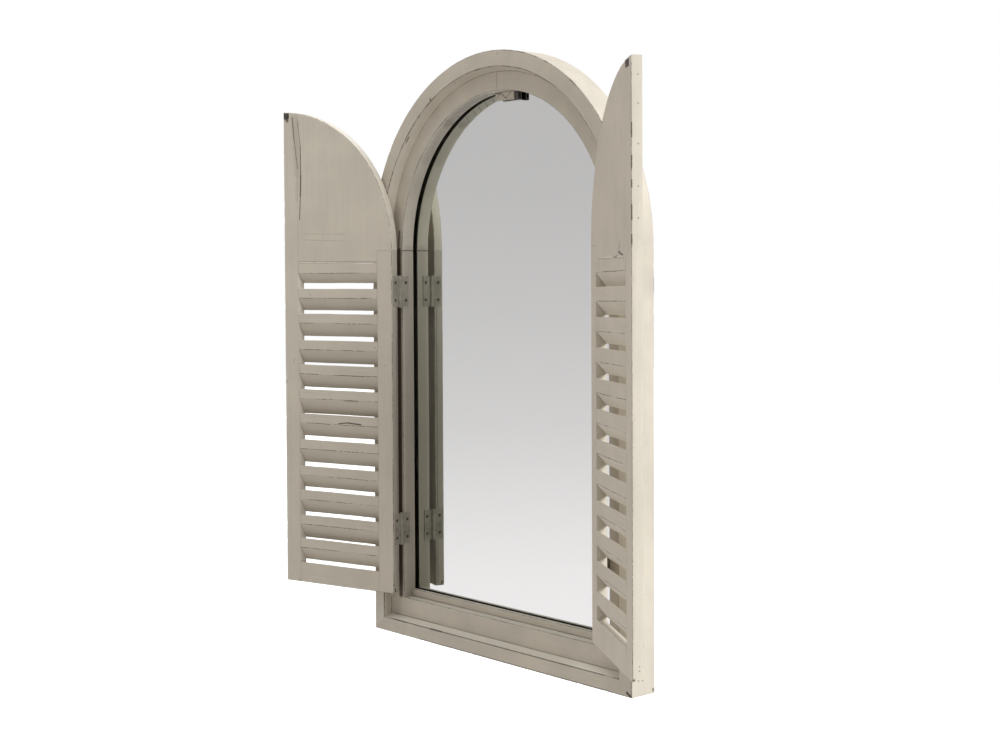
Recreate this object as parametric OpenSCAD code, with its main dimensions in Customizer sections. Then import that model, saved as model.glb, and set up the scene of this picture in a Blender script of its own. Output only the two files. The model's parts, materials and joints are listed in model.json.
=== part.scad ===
// Arched wall mirror with a pair of louvred shutters, all in painted wood.
// Lengths in millimetres, angles in degrees. X runs across, +Y into the wall, +Z up.
// The origin is midway between the two hanging holes, on the wall.
// The shutters are drawn where they stand open; they close when their joints turn back.

/* [Outer frame] */
// Width over the outer frame
frame_w = 500; // [420:5:640]
// Height of the straight sides, from the foot to where the arch springs
leg_h = 525.5; // [460:5:700]
// Depth of the outer frame, front to back
frame_depth = 39; // [37:0.5:48]
// Width of the flat front face of the sides and the arch
rim_face = 21; // [16:0.5:30]
// Width of the flat front face of the bottom rail
foot_face = 19; // [14:0.5:28]
// How far the rim's inner wall slopes inwards between its front edge and the step
rim_splay = 4.4; // [2:0.2:8]
// How much of the front edges is worn round
edge_wear = 1.6; // [0.5:0.1:2.5]

/* [Inner frame] */
// Distance from the front of the outer frame back to the face of the inner frame
step_depth = 13.4; // [10:0.2:16]
// Front face width of the inner frame's sides and arch
inner_face = 24; // [18:0.5:32]
// Front face width of the inner sill
sill_face = 25.6; // [18:0.2:34]
// Depth of the inner frame, front to back
inner_depth = 23.5; // [22:0.1:24]
// How wide the ledge is that the mirror lies behind
ledge_w = 11.5; // [8:0.5:15]
// Height of the stop strip that stands on the sill
stop_h = 10; // [9:0.5:16]
// Gap left by the glue between wooden pieces
glue_gap = 0.1; // [0.05:0.05:0.3]

/* [Mirror and back] */
// Thickness of the glass
glass_t = 3; // [2:0.5:4]
// Thickness of the silvering and its backing paint
silver_t = 0.3; // [0.2:0.1:0.5]
// Play between the glass and the ledge in front of it
glass_play = 0.4; // [0.1:0.1:0.8]
// Play between the glass and the rebate around it
glass_edge_play = 0.5; // [0.3:0.1:0.9]
// Thickness of the plywood back
panel_t = 2; // [1.5:0.5:3]
// Radius of a brad's shank
brad_r = 0.6; // [0.5:0.1:0.9]
// Radius of a brad's head
brad_head_r = 1.5; // [1.2:0.1:2]
// Length of a brad below its head
brad_l = 10; // [7:0.5:14]

/* [Shutters] */
// Thickness of the shutters
shutter_t = 12.5; // [11:0.5:14]
// Gap between the two shutters when they are closed
meeting_gap = 14; // [4:1:24]
// Gap between a shutter's edge and the frame, where the hinge leaves lie
hinge_gap = 2.24; // [2.1:0.02:3]
// Gap between the sill and the foot of a shutter
foot_gap = 8; // [3:0.5:8.5]
// Width of the stile at a shutter's free edge
free_stile_w = 25; // [18:1:34]
// Width of the stile at a shutter's hinged edge
hinge_stile_w = 25; // [18:1:34]
// Height of a shutter's bottom rail at its outer face
shutter_rail_h = 25.3; // [18:0.1:40]
// How much higher the bottom rail stands at its inner face
rail_rise = 3.2; // [0:0.1:5]
// How far the arched top panel reaches below the spring of the arch
panel_drop = 17; // [8:1:30]
// How much higher the right shutter's louvres, panel foot and bottom rail stand than the left's
right_lift = 4; // [0:0.5:6]
// Number of louvres in a shutter
louvre_count = 12; // [8:1:12]
// Height of a louvre's upright edge
louvre_edge = 14; // [9:0.5:16]
// Height of the slot left open between two louvres
louvre_slot = 3.5; // [1.5:0.1:9]
// How far the left shutter stands open
open_left = 164.2; // [90:0.1:164.2]
// How far the right shutter stands open
open_right = 148.9; // [90:0.1:164.2]

/* [Hinges] */
// Height of a hinge
hinge_h = 42; // [32:1:60]
// Distance from the spring of the arch down to the middle of the upper hinge
upper_hinge_drop = 56; // [40:1:90]
// Distance from the foot of the frame up to the middle of the lower hinge
lower_hinge_rise = 144; // [100:1:180]
// Thickness of a hinge leaf
leaf_t = 1; // [0.8:0.1:1]
// How far a leaf reaches behind the face of the inner frame
leaf_w = 9.8; // [8:0.2:12]
// Outer radius of the knuckles
knuckle_r = 2.6; // [2.2:0.1:2.8]
// Distance from the face of the inner frame forward to the hinge pin's axis
pin_ahead = 4.6; // [4.6:0.1:5]
// Radius of the hinge pin
pin_r = 1.2; // [1:0.05:1.4]
// Running clearance between the pin and the knuckles
pin_play = 0.05; // [0.03:0.01:0.08]
// Radius of the small screws' shanks
screw_r = 1.1; // [0.9:0.05:1.3]
// Length of the small screws
screw_l = 9; // [6:0.5:11]
// Radius of the small screws' heads
screw_head_r = 2.1; // [1.8:0.1:2.4]
// Distance between the two screws of a hinge leaf
leaf_screw_pitch = 24; // [18:1:30]

/* [Catch] */
// Width of the wooden block under the crown of the arch
block_w = 37; // [24:1:60]
// How far the block hangs below the crown
block_h = 11; // [6:0.5:16]
// Width of the magnetic catch beside the block
catch_w = 7.5; // [6:0.5:20]
// Height of the magnetic catch's case
catch_h = 10.5; // [6:0.5:12]
// Thickness of the strike plates on the shutters
strike_t = 0.6; // [0.4:0.1:1]
// Width of the right shutter's strike plate
strike_w = 13; // [8:0.5:24]
// Height of the right shutter's strike plate
strike_h = 8; // [6:0.5:12]
// Width of the left shutter's strike plate
small_strike_w = 9; // [7:0.5:14]

/* [Hanging] */
// Distance from the spring of the arch down to the hanging holes
hang_drop = 46.5; // [30:0.5:80]
// How far the hanging plates and the pads stand off the frame's back
standoff = 2; // [1.5:0.1:3]
// Width of a hanging plate
hanger_w = 22; // [20:0.5:24]
// Height of a hanging plate
hanger_h = 19; // [14:0.5:30]
// Radius of the hanging holes
hang_hole_r = 3; // [2:0.1:3.5]
// Depth of the hanging hole behind a plate
hang_hole_deep = 12; // [6:0.5:18]
// Side of a square wall pad
pad_side = 9.5; // [6:0.5:16]
// Distance from the foot of the frame up to the middle of the upper pads
pad_rise = 201; // [120:1:300]
// Distance from the foot of the frame up to the middle of the foot pads
foot_pad_rise = 14; // [8:0.5:20]

/* [Hidden] */
$fn = 128;
LEFT = -1;
RIGHT = 1;
WOOD = [0.68, 0.65, 0.60];
METAL = [0.30, 0.29, 0.27];
SILVER = [0.86, 0.88, 0.90];
GLASS = [0.75, 0.85, 0.85, 0.4];
PLY = [0.72, 0.60, 0.42];
FELT = [0.35, 0.30, 0.26];

// Outlines, from the middle of the arch: half widths and heights
arch_r = frame_w / 2;
rim_w = rim_face + rim_splay;
foot_splay = rim_splay * foot_face / rim_face;
foot_w = foot_face + foot_splay;
recess_r = arch_r - rim_w;
recess_foot = leg_h - foot_w;
mouth_r = recess_r - inner_face;
mouth_foot = recess_foot - sill_face;
rebate_r = mouth_r + ledge_w;
rebate_foot = mouth_foot + ledge_w;

// Depths, from the wall forward
back_y = -standoff;
front_y = back_y - frame_depth;
step_y = front_y + step_depth;
inner_back_y = step_y + inner_depth;
rebate_depth = glass_play + glass_t + silver_t + glue_gap;
ledge_y = inner_back_y - rebate_depth;
glass_y = ledge_y + glass_play;
shutter_back_y = step_y + shutter_t;
close_play = 0.3;
stop_y = shutter_back_y + strike_t + close_play;

// Shutters, closed
shutter_r = mouth_r - hinge_gap;
shutter_foot = mouth_foot - foot_gap;
free_x = meeting_gap / 2;
field_x = free_x + free_stile_w;
field_end = shutter_r - hinge_stile_w;
rail_top = -shutter_foot + shutter_rail_h;
louvre_pitch = (-panel_drop - rail_top) / louvre_count;
louvre_fall = louvre_pitch - louvre_edge - louvre_slot;
corner_r = 3;
function lift(side) = side == RIGHT ? right_lift : 0;

// Hinges
pin_x = mouth_r - hinge_gap / 2;
pin_y = step_y - pin_ahead;
hinge_zs = [-upper_hinge_drop, -leg_h + lower_hinge_rise];
knuckles = 5;
knuckle_gap = 0.3;
knuckle_h = (hinge_h - (knuckles - 1) * knuckle_gap) / knuckles;
leaf_clear = 0.35;
leaf_front = pin_y + knuckle_r + leaf_clear;
pin_head_r = 2.2;
pin_head_h = 1;
pin_head_gap = 0.1;
bore_play = 0.03;
hole_spare = 0.5;
lap = 1;
countersink = 0.1;
cross_w = 0.5;
cross_l = 2.4;
cross_deep = 0.5;
screw_head_h = 1;
leaf_screw_y = step_y + leaf_w * 0.55;

// Catch and strikes
crown_z = mouth_r;
catch_x = block_w / 2 + glue_gap;
strike_margin = 1;
strike_x = catch_x + (catch_w - strike_w) / 2;
strike_end = strike_x + strike_w;
strike_top = sqrt(pow(shutter_r, 2) - pow(strike_end, 2)) - strike_margin;
small_strike_x = free_x + strike_margin;
small_strike_end = small_strike_x + small_strike_w;
small_strike_top = sqrt(pow(shutter_r, 2) - pow(small_strike_end, 2)) - strike_margin;

// Back
panel_r = recess_r - glue_gap;
panel_foot = recess_foot - glue_gap;
brad_ring = (rebate_r + recess_r) / 2;
brad_foot = (rebate_foot + recess_foot) / 2;
brad_head_t = 0.5;
brad_angles = [12, 38, 64, 116, 142, 168];
brad_rows = 3;
hang_x = arch_r - rim_w / 2;
plate_margin = 1.2;
hanger_screw_x = hanger_w / 2 - screw_head_r - plate_margin;
spare = 50;

// ---------- helpers ----------

// Puts what is drawn about the middle of the arch where it belongs above the origin
module at_arch() translate([0, 0, hang_drop]) children();

// Draws the child on the right, or its mirror image on the left
module on_side(side) {
    if (side == RIGHT) children();
    else mirror([1, 0, 0]) children();
}

// Gives a flat outline, drawn in X and Z, the thickness between two depths
module slab(y0, y1)
    translate([0, y1, 0])
        rotate([90, 0, 0]) linear_extrude(height = y1 - y0) children();

// Sweeps a section, drawn in radius and depth, round the arch from one angle to another
module round_arch(from, to)
    rotate([90, 0, 0]) rotate([0, 0, from])
        rotate_extrude(angle = to - from, $fn = 4 * $fn) mirror([0, 1]) children();

// An upright bar on the right, whose section is drawn in X and Y
module upright(z0, z1) translate([0, 0, z0]) linear_extrude(height = z1 - z0) children();

// A level bar across, whose section is drawn in height above its foot and in Y
module level(foot, length)
    translate([0, 0, -foot])
        rotate([0, -90, 0]) linear_extrude(height = length, center = true) children();

// Everything on the right of the mitre that leaves the corner (x, -foot) inwards
module jamb_side(x, foot, run, rise)
    slab(front_y - spare, spare)
        polygon([[x + run, 0], [x + run, -foot - rise], [x - 1.5 * run, -foot + 1.5 * rise],
                 [x - 1.5 * run, 0]]);

// Everything between the mitres that leave the corners (+-x, -foot) inwards
module foot_side(x, foot, run, rise)
    slab(front_y - spare, spare)
        polygon([[x + run, -foot - rise], [x - 1.5 * run, -foot + 1.5 * rise],
                 [-x + 1.5 * run, -foot + 1.5 * rise], [-x - run, -foot - rise]]);

// Section of an outer frame member: across from its outer side, and depth
module rim_section(face, splay) {
    worn = edge_wear * (1 - sqrt(0.5));
    polygon([[0, back_y], [0, front_y + edge_wear], [worn, front_y + worn], [edge_wear, front_y],
             [face - edge_wear, front_y], [face - worn, front_y + worn * 0.9],
             [face + splay * edge_wear / step_depth, front_y + edge_wear],
             [face + splay, step_y], [face + splay, back_y]]);
}

// Section of an inner frame member: across from its outer side, and depth
module inner_section(face) {
    ease = edge_wear / 2;
    polygon([[glue_gap, step_y], [face - ease, step_y], [face, step_y + ease], [face, ledge_y],
             [face - ledge_w, ledge_y], [face - ledge_w, inner_back_y], [glue_gap, inner_back_y]]);
}

// Outline of a sheet that fills the arch: half width, foot below the spring of the arch
module arch_sheet(r, foot) {
    circle(r = r, $fn = 4 * $fn);
    translate([-r, -foot]) square([2 * r, foot]);
}

// Every place along the margin of the back where a brad goes
module at_brads() {
    for (a = brad_angles) translate([brad_ring * cos(a), 0, brad_ring * sin(a)]) children();
    for (x = [-brad_ring, brad_ring])
        for (k = [1 : brad_rows])
            translate([x, 0, -k * brad_foot / (brad_rows + 0.5)]) children();
    for (k = [-1 : 1]) translate([k * brad_ring * 0.6, 0, -brad_foot]) children();
}

// Holes for the brads
module brad_holes()
    at_brads() translate([0, inner_back_y + panel_t + brad_head_t, 0])
        rotate([90, 0, 0]) cylinder(r = brad_r + bore_play, h = brad_l + brad_head_t + lap, $fn = 24);

// A small countersunk screw whose head is level with the origin and whose shank runs along -Z
module small_screw()
    difference() {
        union() {
            translate([0, 0, -screw_head_h])
                cylinder(r1 = screw_r, r2 = screw_head_r, h = screw_head_h - countersink, $fn = 32);
            translate([0, 0, -screw_l]) cylinder(r = screw_r, h = screw_l - screw_head_h, $fn = 32);
        }
        for (turn = [0, 90]) rotate([0, 0, turn])
            translate([-cross_l / 2, -cross_w / 2, -cross_deep]) cube([cross_l, cross_w, cross_deep]);
    }

// The hole that such a screw goes in, countersunk at its mouth
module small_screw_hole() {
    translate([0, 0, -screw_head_h])
        cylinder(r1 = screw_r + bore_play, r2 = screw_head_r + bore_play + countersink,
                 h = screw_head_h, $fn = 32);
    translate([0, 0, -screw_l - hole_spare])
        cylinder(r = screw_r + bore_play, h = screw_l + hole_spare, $fn = 32);
}

// The places of the screws in the two jamb leaves of a side
module at_jamb_screws()
    for (z = hinge_zs) for (k = [-0.5, 0.5])
        translate([mouth_r - leaf_t, leaf_screw_y, z + k * leaf_screw_pitch])
            rotate([0, -90, 0]) children();

// The places of the screws in the two shutter leaves of a side, shutter closed
module at_shutter_leaf_screws()
    for (z = hinge_zs) for (k = [-0.5, 0.5])
        translate([shutter_r + leaf_t, leaf_screw_y, z + k * leaf_screw_pitch])
            rotate([0, 90, 0]) children();

// The place of the screw in a side's strike plate, shutter closed
module at_strike_screw(side) {
    x = side == RIGHT ? strike_x + strike_w / 2 : small_strike_x + small_strike_w / 2;
    top = side == RIGHT ? strike_top : small_strike_top;
    translate([x, shutter_back_y + strike_t, top - strike_h / 2]) rotate([-90, 0, 0]) children();
}

// The places of the screws of the hanging plates
module at_hanger_screws()
    for (x = [-hang_x, hang_x]) for (k = [-1, 1])
        translate([x + k * hanger_screw_x, 0, -hang_drop]) rotate([-90, 0, 0]) children();

// The hanging holes, with what they need behind the plates
module hanging_holes()
    for (x = [-hang_x, hang_x])
        translate([x, spare, -hang_drop])
            rotate([90, 0, 0]) cylinder(r = hang_hole_r, h = hang_hole_deep + spare, $fn = 48);

// Swings what is drawn on the closed right shutter open, on either side
module swung(side)
    on_side(side)
        translate([pin_x, pin_y, 0])
            rotate([0, 0, side == RIGHT ? open_right : open_left])
                translate([-pin_x, -pin_y, 0]) children();

// One row of knuckles: the ones with an odd or even number, counted from the foot
module knuckle_row(parity, plate_x)
    for (z = hinge_zs) for (k = [parity : 2 : knuckles - 1])
        translate([0, 0, z - hinge_h / 2 + k * (knuckle_h + knuckle_gap)]) {
            translate([pin_x, pin_y, 0]) cylinder(r = knuckle_r, h = knuckle_h, $fn = 48);
            translate([plate_x, pin_y, 0]) cube([leaf_t, leaf_front - pin_y + lap, knuckle_h]);
        }

// Two leaves of a side with their knuckles, bored for the pin
module leaves(parity, plate_x)
    difference() {
        union() {
            for (z = hinge_zs)
                translate([plate_x, leaf_front, z - hinge_h / 2])
                    cube([leaf_t, step_y + leaf_w - leaf_front, hinge_h]);
            knuckle_row(parity, plate_x);
        }
        for (z = hinge_zs)
            translate([pin_x, pin_y, z - hinge_h])
                cylinder(r = pin_r + pin_play, h = 2 * hinge_h, $fn = 48);
    }

// ---------- outer frame ----------

module jamb(side)
    color(WOOD) at_arch() difference() {
        on_side(side) intersection() {
            upright(-leg_h, 0) translate([arch_r, 0]) mirror([1, 0]) rim_section(rim_face, rim_splay);
            jamb_side(arch_r, leg_h, rim_w, foot_w);
        }
        hanging_holes();
        at_hanger_screws() small_screw_hole();
    }
module left_jamb() jamb(LEFT);
module right_jamb() jamb(RIGHT);

module bottom_rail()
    color(WOOD) at_arch() intersection() {
        level(leg_h, frame_w) rim_section(foot_face, foot_splay);
        foot_side(arch_r, leg_h, rim_w, foot_w);
    }

module arch_half(side)
    color(WOOD) at_arch() on_side(side)
        round_arch(0, 90) translate([arch_r, 0]) mirror([1, 0]) rim_section(rim_face, rim_splay);
module left_arch() arch_half(LEFT);
module right_arch() arch_half(RIGHT);

// ---------- inner frame ----------

module inner_jamb(side)
    color(WOOD) at_arch() difference() {
        on_side(side) difference() {
            intersection() {
                upright(-recess_foot, 0)
                    translate([recess_r, 0]) mirror([1, 0]) inner_section(inner_face);
                jamb_side(recess_r, recess_foot, inner_face, sill_face);
            }
            at_jamb_screws() small_screw_hole();
        }
        brad_holes();
    }
module left_inner_jamb() inner_jamb(LEFT);
module right_inner_jamb() inner_jamb(RIGHT);

module inner_sill()
    color(WOOD) at_arch() difference() {
        intersection() {
            level(recess_foot, 2 * recess_r) inner_section(sill_face);
            foot_side(recess_r, recess_foot, inner_face, sill_face);
        }
        brad_holes();
    }

module inner_arch_half(side)
    color(WOOD) at_arch() difference() {
        on_side(side)
            round_arch(0, 90) translate([recess_r, 0]) mirror([1, 0]) inner_section(inner_face);
        brad_holes();
    }
module left_inner_arch() inner_arch_half(LEFT);
module right_inner_arch() inner_arch_half(RIGHT);

module sill_stop()
    color(WOOD) at_arch()
        translate([-mouth_r + glue_gap, stop_y, -mouth_foot + glue_gap])
            cube([2 * (mouth_r - glue_gap), ledge_y - stop_y, stop_h]);

module crown_block()
    color(WOOD) at_arch() slab(stop_y, ledge_y) intersection() {
        circle(r = mouth_r - glue_gap, $fn = 4 * $fn);
        translate([-block_w / 2, crown_z - block_h]) square([block_w, block_h]);
    }

module magnetic_catch()
    color(METAL) at_arch() slab(stop_y, ledge_y) intersection() {
        circle(r = mouth_r - glue_gap, $fn = 4 * $fn);
        translate([catch_x, sqrt(pow(mouth_r, 2) - pow(catch_x + catch_w, 2)) - catch_h])
            square([catch_w, 2 * catch_h]);
    }

// ---------- mirror and back ----------

module mirror_glass()
    color(GLASS) at_arch() slab(glass_y, glass_y + glass_t)
        arch_sheet(rebate_r - glass_edge_play, rebate_foot - glass_edge_play);

module mirror_silvering()
    color(SILVER) at_arch() slab(glass_y + glass_t, glass_y + glass_t + silver_t)
        arch_sheet(rebate_r - glass_edge_play, rebate_foot - glass_edge_play);

module back_panel()
    color(PLY) at_arch() difference() {
        slab(inner_back_y, inner_back_y + panel_t) arch_sheet(panel_r, panel_foot);
        brad_holes();
    }

module panel_brads()
    color(METAL) at_arch() at_brads() translate([0, inner_back_y + panel_t, 0]) {
        rotate([90, 0, 0]) cylinder(r = brad_r, h = brad_l, $fn = 24);
        rotate([-90, 0, 0]) cylinder(r = brad_head_r, h = brad_head_t, $fn = 24);
    }

// ---------- hanging ----------

module hanging_plates()
    color(METAL) at_arch() difference() {
        for (x = [-hang_x, hang_x])
            translate([x - hanger_w / 2, back_y, -hang_drop - hanger_h / 2])
                cube([hanger_w, standoff, hanger_h]);
        hanging_holes();
        at_hanger_screws() small_screw_hole();
    }

module wall_pads()
    color(FELT) at_arch()
        for (x = [-hang_x, hang_x]) for (rise = [pad_rise, foot_pad_rise])
            translate([x - pad_side / 2, back_y, -leg_h + rise - pad_side / 2])
                cube([pad_side, standoff, pad_side]);

module frame_screws()
    color(METAL) at_arch() {
        for (side = [LEFT, RIGHT]) on_side(side) at_jamb_screws() small_screw();
        at_hanger_screws() small_screw();
    }

// ---------- hinges ----------

module jamb_hinge_leaves()
    color(METAL) at_arch() for (side = [LEFT, RIGHT]) on_side(side) difference() {
        leaves(0, mouth_r - leaf_t);
        at_jamb_screws() small_screw_hole();
    }

module hinge_pins()
    color(METAL) at_arch() for (x = [-pin_x, pin_x]) for (z = hinge_zs) translate([x, pin_y, z]) {
        translate([0, 0, -hinge_h / 2 - pin_head_gap])
            cylinder(r = pin_r, h = hinge_h + 2 * pin_head_gap, $fn = 48);
        for (end = [0, 1]) mirror([0, 0, end])
            translate([0, 0, hinge_h / 2 + pin_head_gap])
                cylinder(r = pin_head_r, h = pin_head_h, $fn = 48);
    }

// ---------- shutters ----------

module hinge_stile(side)
    color(WOOD) at_arch() swung(side) difference() {
        slab(step_y, shutter_back_y) union() {
            translate([field_end, -shutter_foot + corner_r])
                square([hinge_stile_w, shutter_foot - corner_r]);
            translate([field_end, -shutter_foot]) square([hinge_stile_w - corner_r, shutter_foot]);
            translate([shutter_r - corner_r, -shutter_foot + corner_r]) circle(r = corner_r, $fn = 48);
        }
        at_shutter_leaf_screws() small_screw_hole();
    }
module left_hinge_stile() hinge_stile(LEFT);
module right_hinge_stile() hinge_stile(RIGHT);

module free_stile(side)
    color(WOOD) at_arch() swung(side) difference() {
        slab(step_y, shutter_back_y) intersection() {
            arch_sheet(shutter_r, shutter_foot);
            translate([free_x, -shutter_foot]) square([free_stile_w, shutter_foot + shutter_r]);
        }
        at_strike_screw(side) small_screw_hole();
    }
module left_free_stile() free_stile(LEFT);
module right_free_stile() free_stile(RIGHT);

module top_panel(side)
    color(WOOD) at_arch() swung(side) difference() {
        slab(step_y, shutter_back_y) difference() {
            intersection() {
                arch_sheet(shutter_r, shutter_foot);
                translate([field_x + glue_gap, -panel_drop + lift(side)])
                    square([shutter_r, panel_drop + shutter_r]);
            }
            translate([field_end - glue_gap, -shutter_foot])
                square([hinge_stile_w + lap, shutter_foot + glue_gap]);
        }
        at_strike_screw(side) small_screw_hole();
    }
module left_top_panel() top_panel(LEFT);
module right_top_panel() top_panel(RIGHT);

module shutter_rail(side)
    color(WOOD) at_arch() swung(side)
        translate([field_x + glue_gap, 0, -shutter_foot])
            rotate([90, 0, 90]) linear_extrude(height = field_end - field_x - 2 * glue_gap)
                polygon([[step_y, 0], [shutter_back_y, 0],
                         [shutter_back_y, shutter_rail_h + rail_rise + lift(side)],
                         [step_y, shutter_rail_h + lift(side)]]);
module left_shutter_rail() shutter_rail(LEFT);
module right_shutter_rail() shutter_rail(RIGHT);

// A slat across the field; its inner edge stands higher than its outer edge
module louvre(side, k)
    color(WOOD) at_arch() swung(side)
        translate([field_x + glue_gap, 0, lift(side) - panel_drop - glue_gap - (k - 1) * louvre_pitch])
            rotate([90, 0, 90]) linear_extrude(height = field_end - field_x - 2 * glue_gap)
                polygon([[shutter_back_y, 0], [shutter_back_y, -louvre_edge],
                         [step_y, -louvre_edge - louvre_fall], [step_y, -louvre_fall]]);

module shutter_hinge_leaves(side)
    color(METAL) at_arch() swung(side) difference() {
        leaves(1, shutter_r);
        at_shutter_leaf_screws() small_screw_hole();
    }
module left_shutter_hinge_leaves() shutter_hinge_leaves(LEFT);
module right_shutter_hinge_leaves() shutter_hinge_leaves(RIGHT);

module shutter_screws(side)
    color(METAL) at_arch() swung(side) {
        at_shutter_leaf_screws() small_screw();
        at_strike_screw(side) small_screw();
    }
module left_shutter_screws() shutter_screws(LEFT);
module right_shutter_screws() shutter_screws(RIGHT);

module strike_plate(side, x, w, top)
    color(METAL) at_arch() swung(side) difference() {
        translate([x, shutter_back_y, top - strike_h]) cube([w, strike_t, strike_h]);
        at_strike_screw(side) small_screw_hole();
    }
module left_strike_plate() strike_plate(LEFT, small_strike_x, small_strike_w, small_strike_top);
module right_strike_plate() strike_plate(RIGHT, strike_x, strike_w, strike_top);

// ---------- what is drawn ----------

left_jamb();
right_jamb();
bottom_rail();
left_arch();
right_arch();
left_inner_jamb();
right_inner_jamb();
inner_sill();
left_inner_arch();
right_inner_arch();
sill_stop();
crown_block();
magnetic_catch();
mirror_glass();
mirror_silvering();
back_panel();
panel_brads();
hanging_plates();
wall_pads();
frame_screws();
jamb_hinge_leaves();
hinge_pins();
left_hinge_stile();
right_hinge_stile();
left_free_stile();
right_free_stile();
left_top_panel();
right_top_panel();
left_shutter_rail();
right_shutter_rail();
left_shutter_hinge_leaves();
right_shutter_hinge_leaves();
left_shutter_screws();
right_shutter_screws();
left_strike_plate();
right_strike_plate();
for (k = [1 : louvre_count]) {
    louvre(LEFT, k);
    louvre(RIGHT, k);
}
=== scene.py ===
"""An arched wall mirror with a pair of louvred shutters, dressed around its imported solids.

Metres. X runs across, +Y into the wall, +Z up, and the origin is midway between the hanging holes.
The shutters are built closed on the right-hand side, then mirrored and swung to where they stand.
"""

import json
import logging
import math
from dataclasses import dataclass, field
from enum import Enum
from typing import Callable, Iterable, Sequence

import bmesh
import bpy
import numpy as np
from mathutils import Matrix, Vector, noise


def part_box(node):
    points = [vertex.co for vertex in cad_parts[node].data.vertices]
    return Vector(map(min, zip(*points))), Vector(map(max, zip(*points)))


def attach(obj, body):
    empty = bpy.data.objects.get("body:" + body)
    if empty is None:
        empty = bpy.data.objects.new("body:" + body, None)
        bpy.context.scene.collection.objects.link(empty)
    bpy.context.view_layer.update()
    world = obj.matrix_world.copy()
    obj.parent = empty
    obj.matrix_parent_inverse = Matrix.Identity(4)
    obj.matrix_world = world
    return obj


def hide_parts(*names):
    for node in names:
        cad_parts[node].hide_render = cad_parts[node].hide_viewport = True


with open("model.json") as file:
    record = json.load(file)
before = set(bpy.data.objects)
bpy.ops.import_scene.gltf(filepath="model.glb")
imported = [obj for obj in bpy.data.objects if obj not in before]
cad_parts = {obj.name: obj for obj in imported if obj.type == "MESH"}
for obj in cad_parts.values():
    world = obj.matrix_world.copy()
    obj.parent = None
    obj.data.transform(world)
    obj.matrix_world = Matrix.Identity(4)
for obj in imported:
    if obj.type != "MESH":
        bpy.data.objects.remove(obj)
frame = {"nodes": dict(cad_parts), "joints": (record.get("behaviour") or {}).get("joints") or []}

LOG = logging.getLogger("shutter_mirror")
MM = 0.001
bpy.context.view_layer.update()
SMOOTH_BELOW = math.radians(42)
SAME_SPOT = 1e-7
SAME_END = 1e-6
STROKE_CORE = 0.35
SECTION_CUTS = 7
SLAT_STEP = 3.0 * MM
MIDWAY = 1.5
FAR_FACE = 3.0
EASE = 0.9 * MM
WAVES = (18, 130, 330)
CHIP_FROM = 0.22
CHIP_GAIN = 2.2
Pair = tuple[float, float]
Triple = tuple[float, float, float]
Node = bpy.types.Node
Tree = bpy.types.NodeTree
Socket = bpy.types.NodeSocket
Material = bpy.types.Material
Object = bpy.types.Object


class Side(Enum):
    """The viewer's left or right, as the sign of X."""

    LEFT = -1
    RIGHT = 1

    @property
    def label(self) -> str:
        """The word that the side's nodes and pieces begin with."""
        return self.name.lower()


class Tone(Enum):
    """What a mark in the paint shows: bare dark wood or a painted shadow, the pale undercoat, or a grey smear
    or painted grey shade.
    """

    DARK = "dark"
    PALE = "pale"
    GREY = "grey"


class Layer(Enum):
    """Attributes that the pieces carry for the paint."""

    PLACE = "place"
    GRAIN = "grain"
    WEAR = "wear"
    JOINT = "joint"


# ---------- sizes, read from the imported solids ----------


@dataclass(frozen=True)
class Swing:
    """A shutter's hinge: the pin's place, and the turn that opens it from closed."""

    side: Side
    pin: Pair
    angle: float

    @classmethod
    def of(cls, side: Side) -> "Swing":
        """Reads a shutter's hinge from the joints.

        Args:
            side: The shutter's side.

        Returns:
            The hinge, with the angle at which the shutter stands open.
        """
        joint = next(j for j in frame["joints"] if j["child"] == f"{side.label}_shutter")
        closed = max(joint["range_deg"], key=abs)
        pin = joint["pos_m"]
        return cls(side, (pin[0], pin[1]), math.radians(-closed))

    @property
    def opened(self) -> Matrix:
        """Takes the closed shutter to where it stands."""
        there = Matrix.Translation((self.pin[0], self.pin[1], 0))
        return there @ Matrix.Rotation(self.angle, 4, "Z") @ there.inverted()

    def closed_points(self, node: str) -> np.ndarray:
        """Reads the corners of one of the shutter's solids with the shutter closed.

        Args:
            node: The solid's name.

        Returns:
            A row of X, Y and Z for each corner, on the right-hand side.
        """
        back = self.opened.inverted()
        points = [back @ v.co for v in frame["nodes"][node].data.vertices]
        return np.array([(p.x * self.side.value, p.y, p.z) for p in points])

    def closed_box(self, node: str) -> tuple[Vector, Vector]:
        """Measures one of the shutter's solids, closed and on the right-hand side."""
        corners = self.closed_points(node)
        return Vector(corners.min(0)), Vector(corners.max(0))


@dataclass(frozen=True)
class Sizes:
    """Half widths, heights and depths of the two frames, from the middle of the arch."""

    arch_r: float
    foot: float
    recess_r: float
    recess_foot: float
    mouth_r: float
    mouth_foot: float
    spring: float
    front: float
    back: float
    step: float
    inner_back: float
    ledge: float
    glue: float = 0.1 * MM

    @classmethod
    def measured(cls) -> "Sizes":
        """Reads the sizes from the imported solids.

        Returns:
            The sizes.
        """
        jamb_lo, jamb_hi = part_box("right_jamb")
        inner_lo, inner_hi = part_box("right_inner_jamb")
        spring = jamb_hi.z
        return cls(
            arch_r=jamb_hi.x, foot=spring - jamb_lo.z, recess_r=jamb_lo.x,
            recess_foot=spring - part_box("bottom_rail")[1].z, mouth_r=inner_lo.x,
            mouth_foot=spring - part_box("inner_sill")[1].z, spring=spring, front=jamb_lo.y, back=jamb_hi.y,
            step=inner_lo.y, inner_back=inner_hi.y, ledge=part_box("mirror_glass")[0].y - 0.4 * MM,
        )


SIZES = Sizes.measured()


# ---------- node trees ----------


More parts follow.
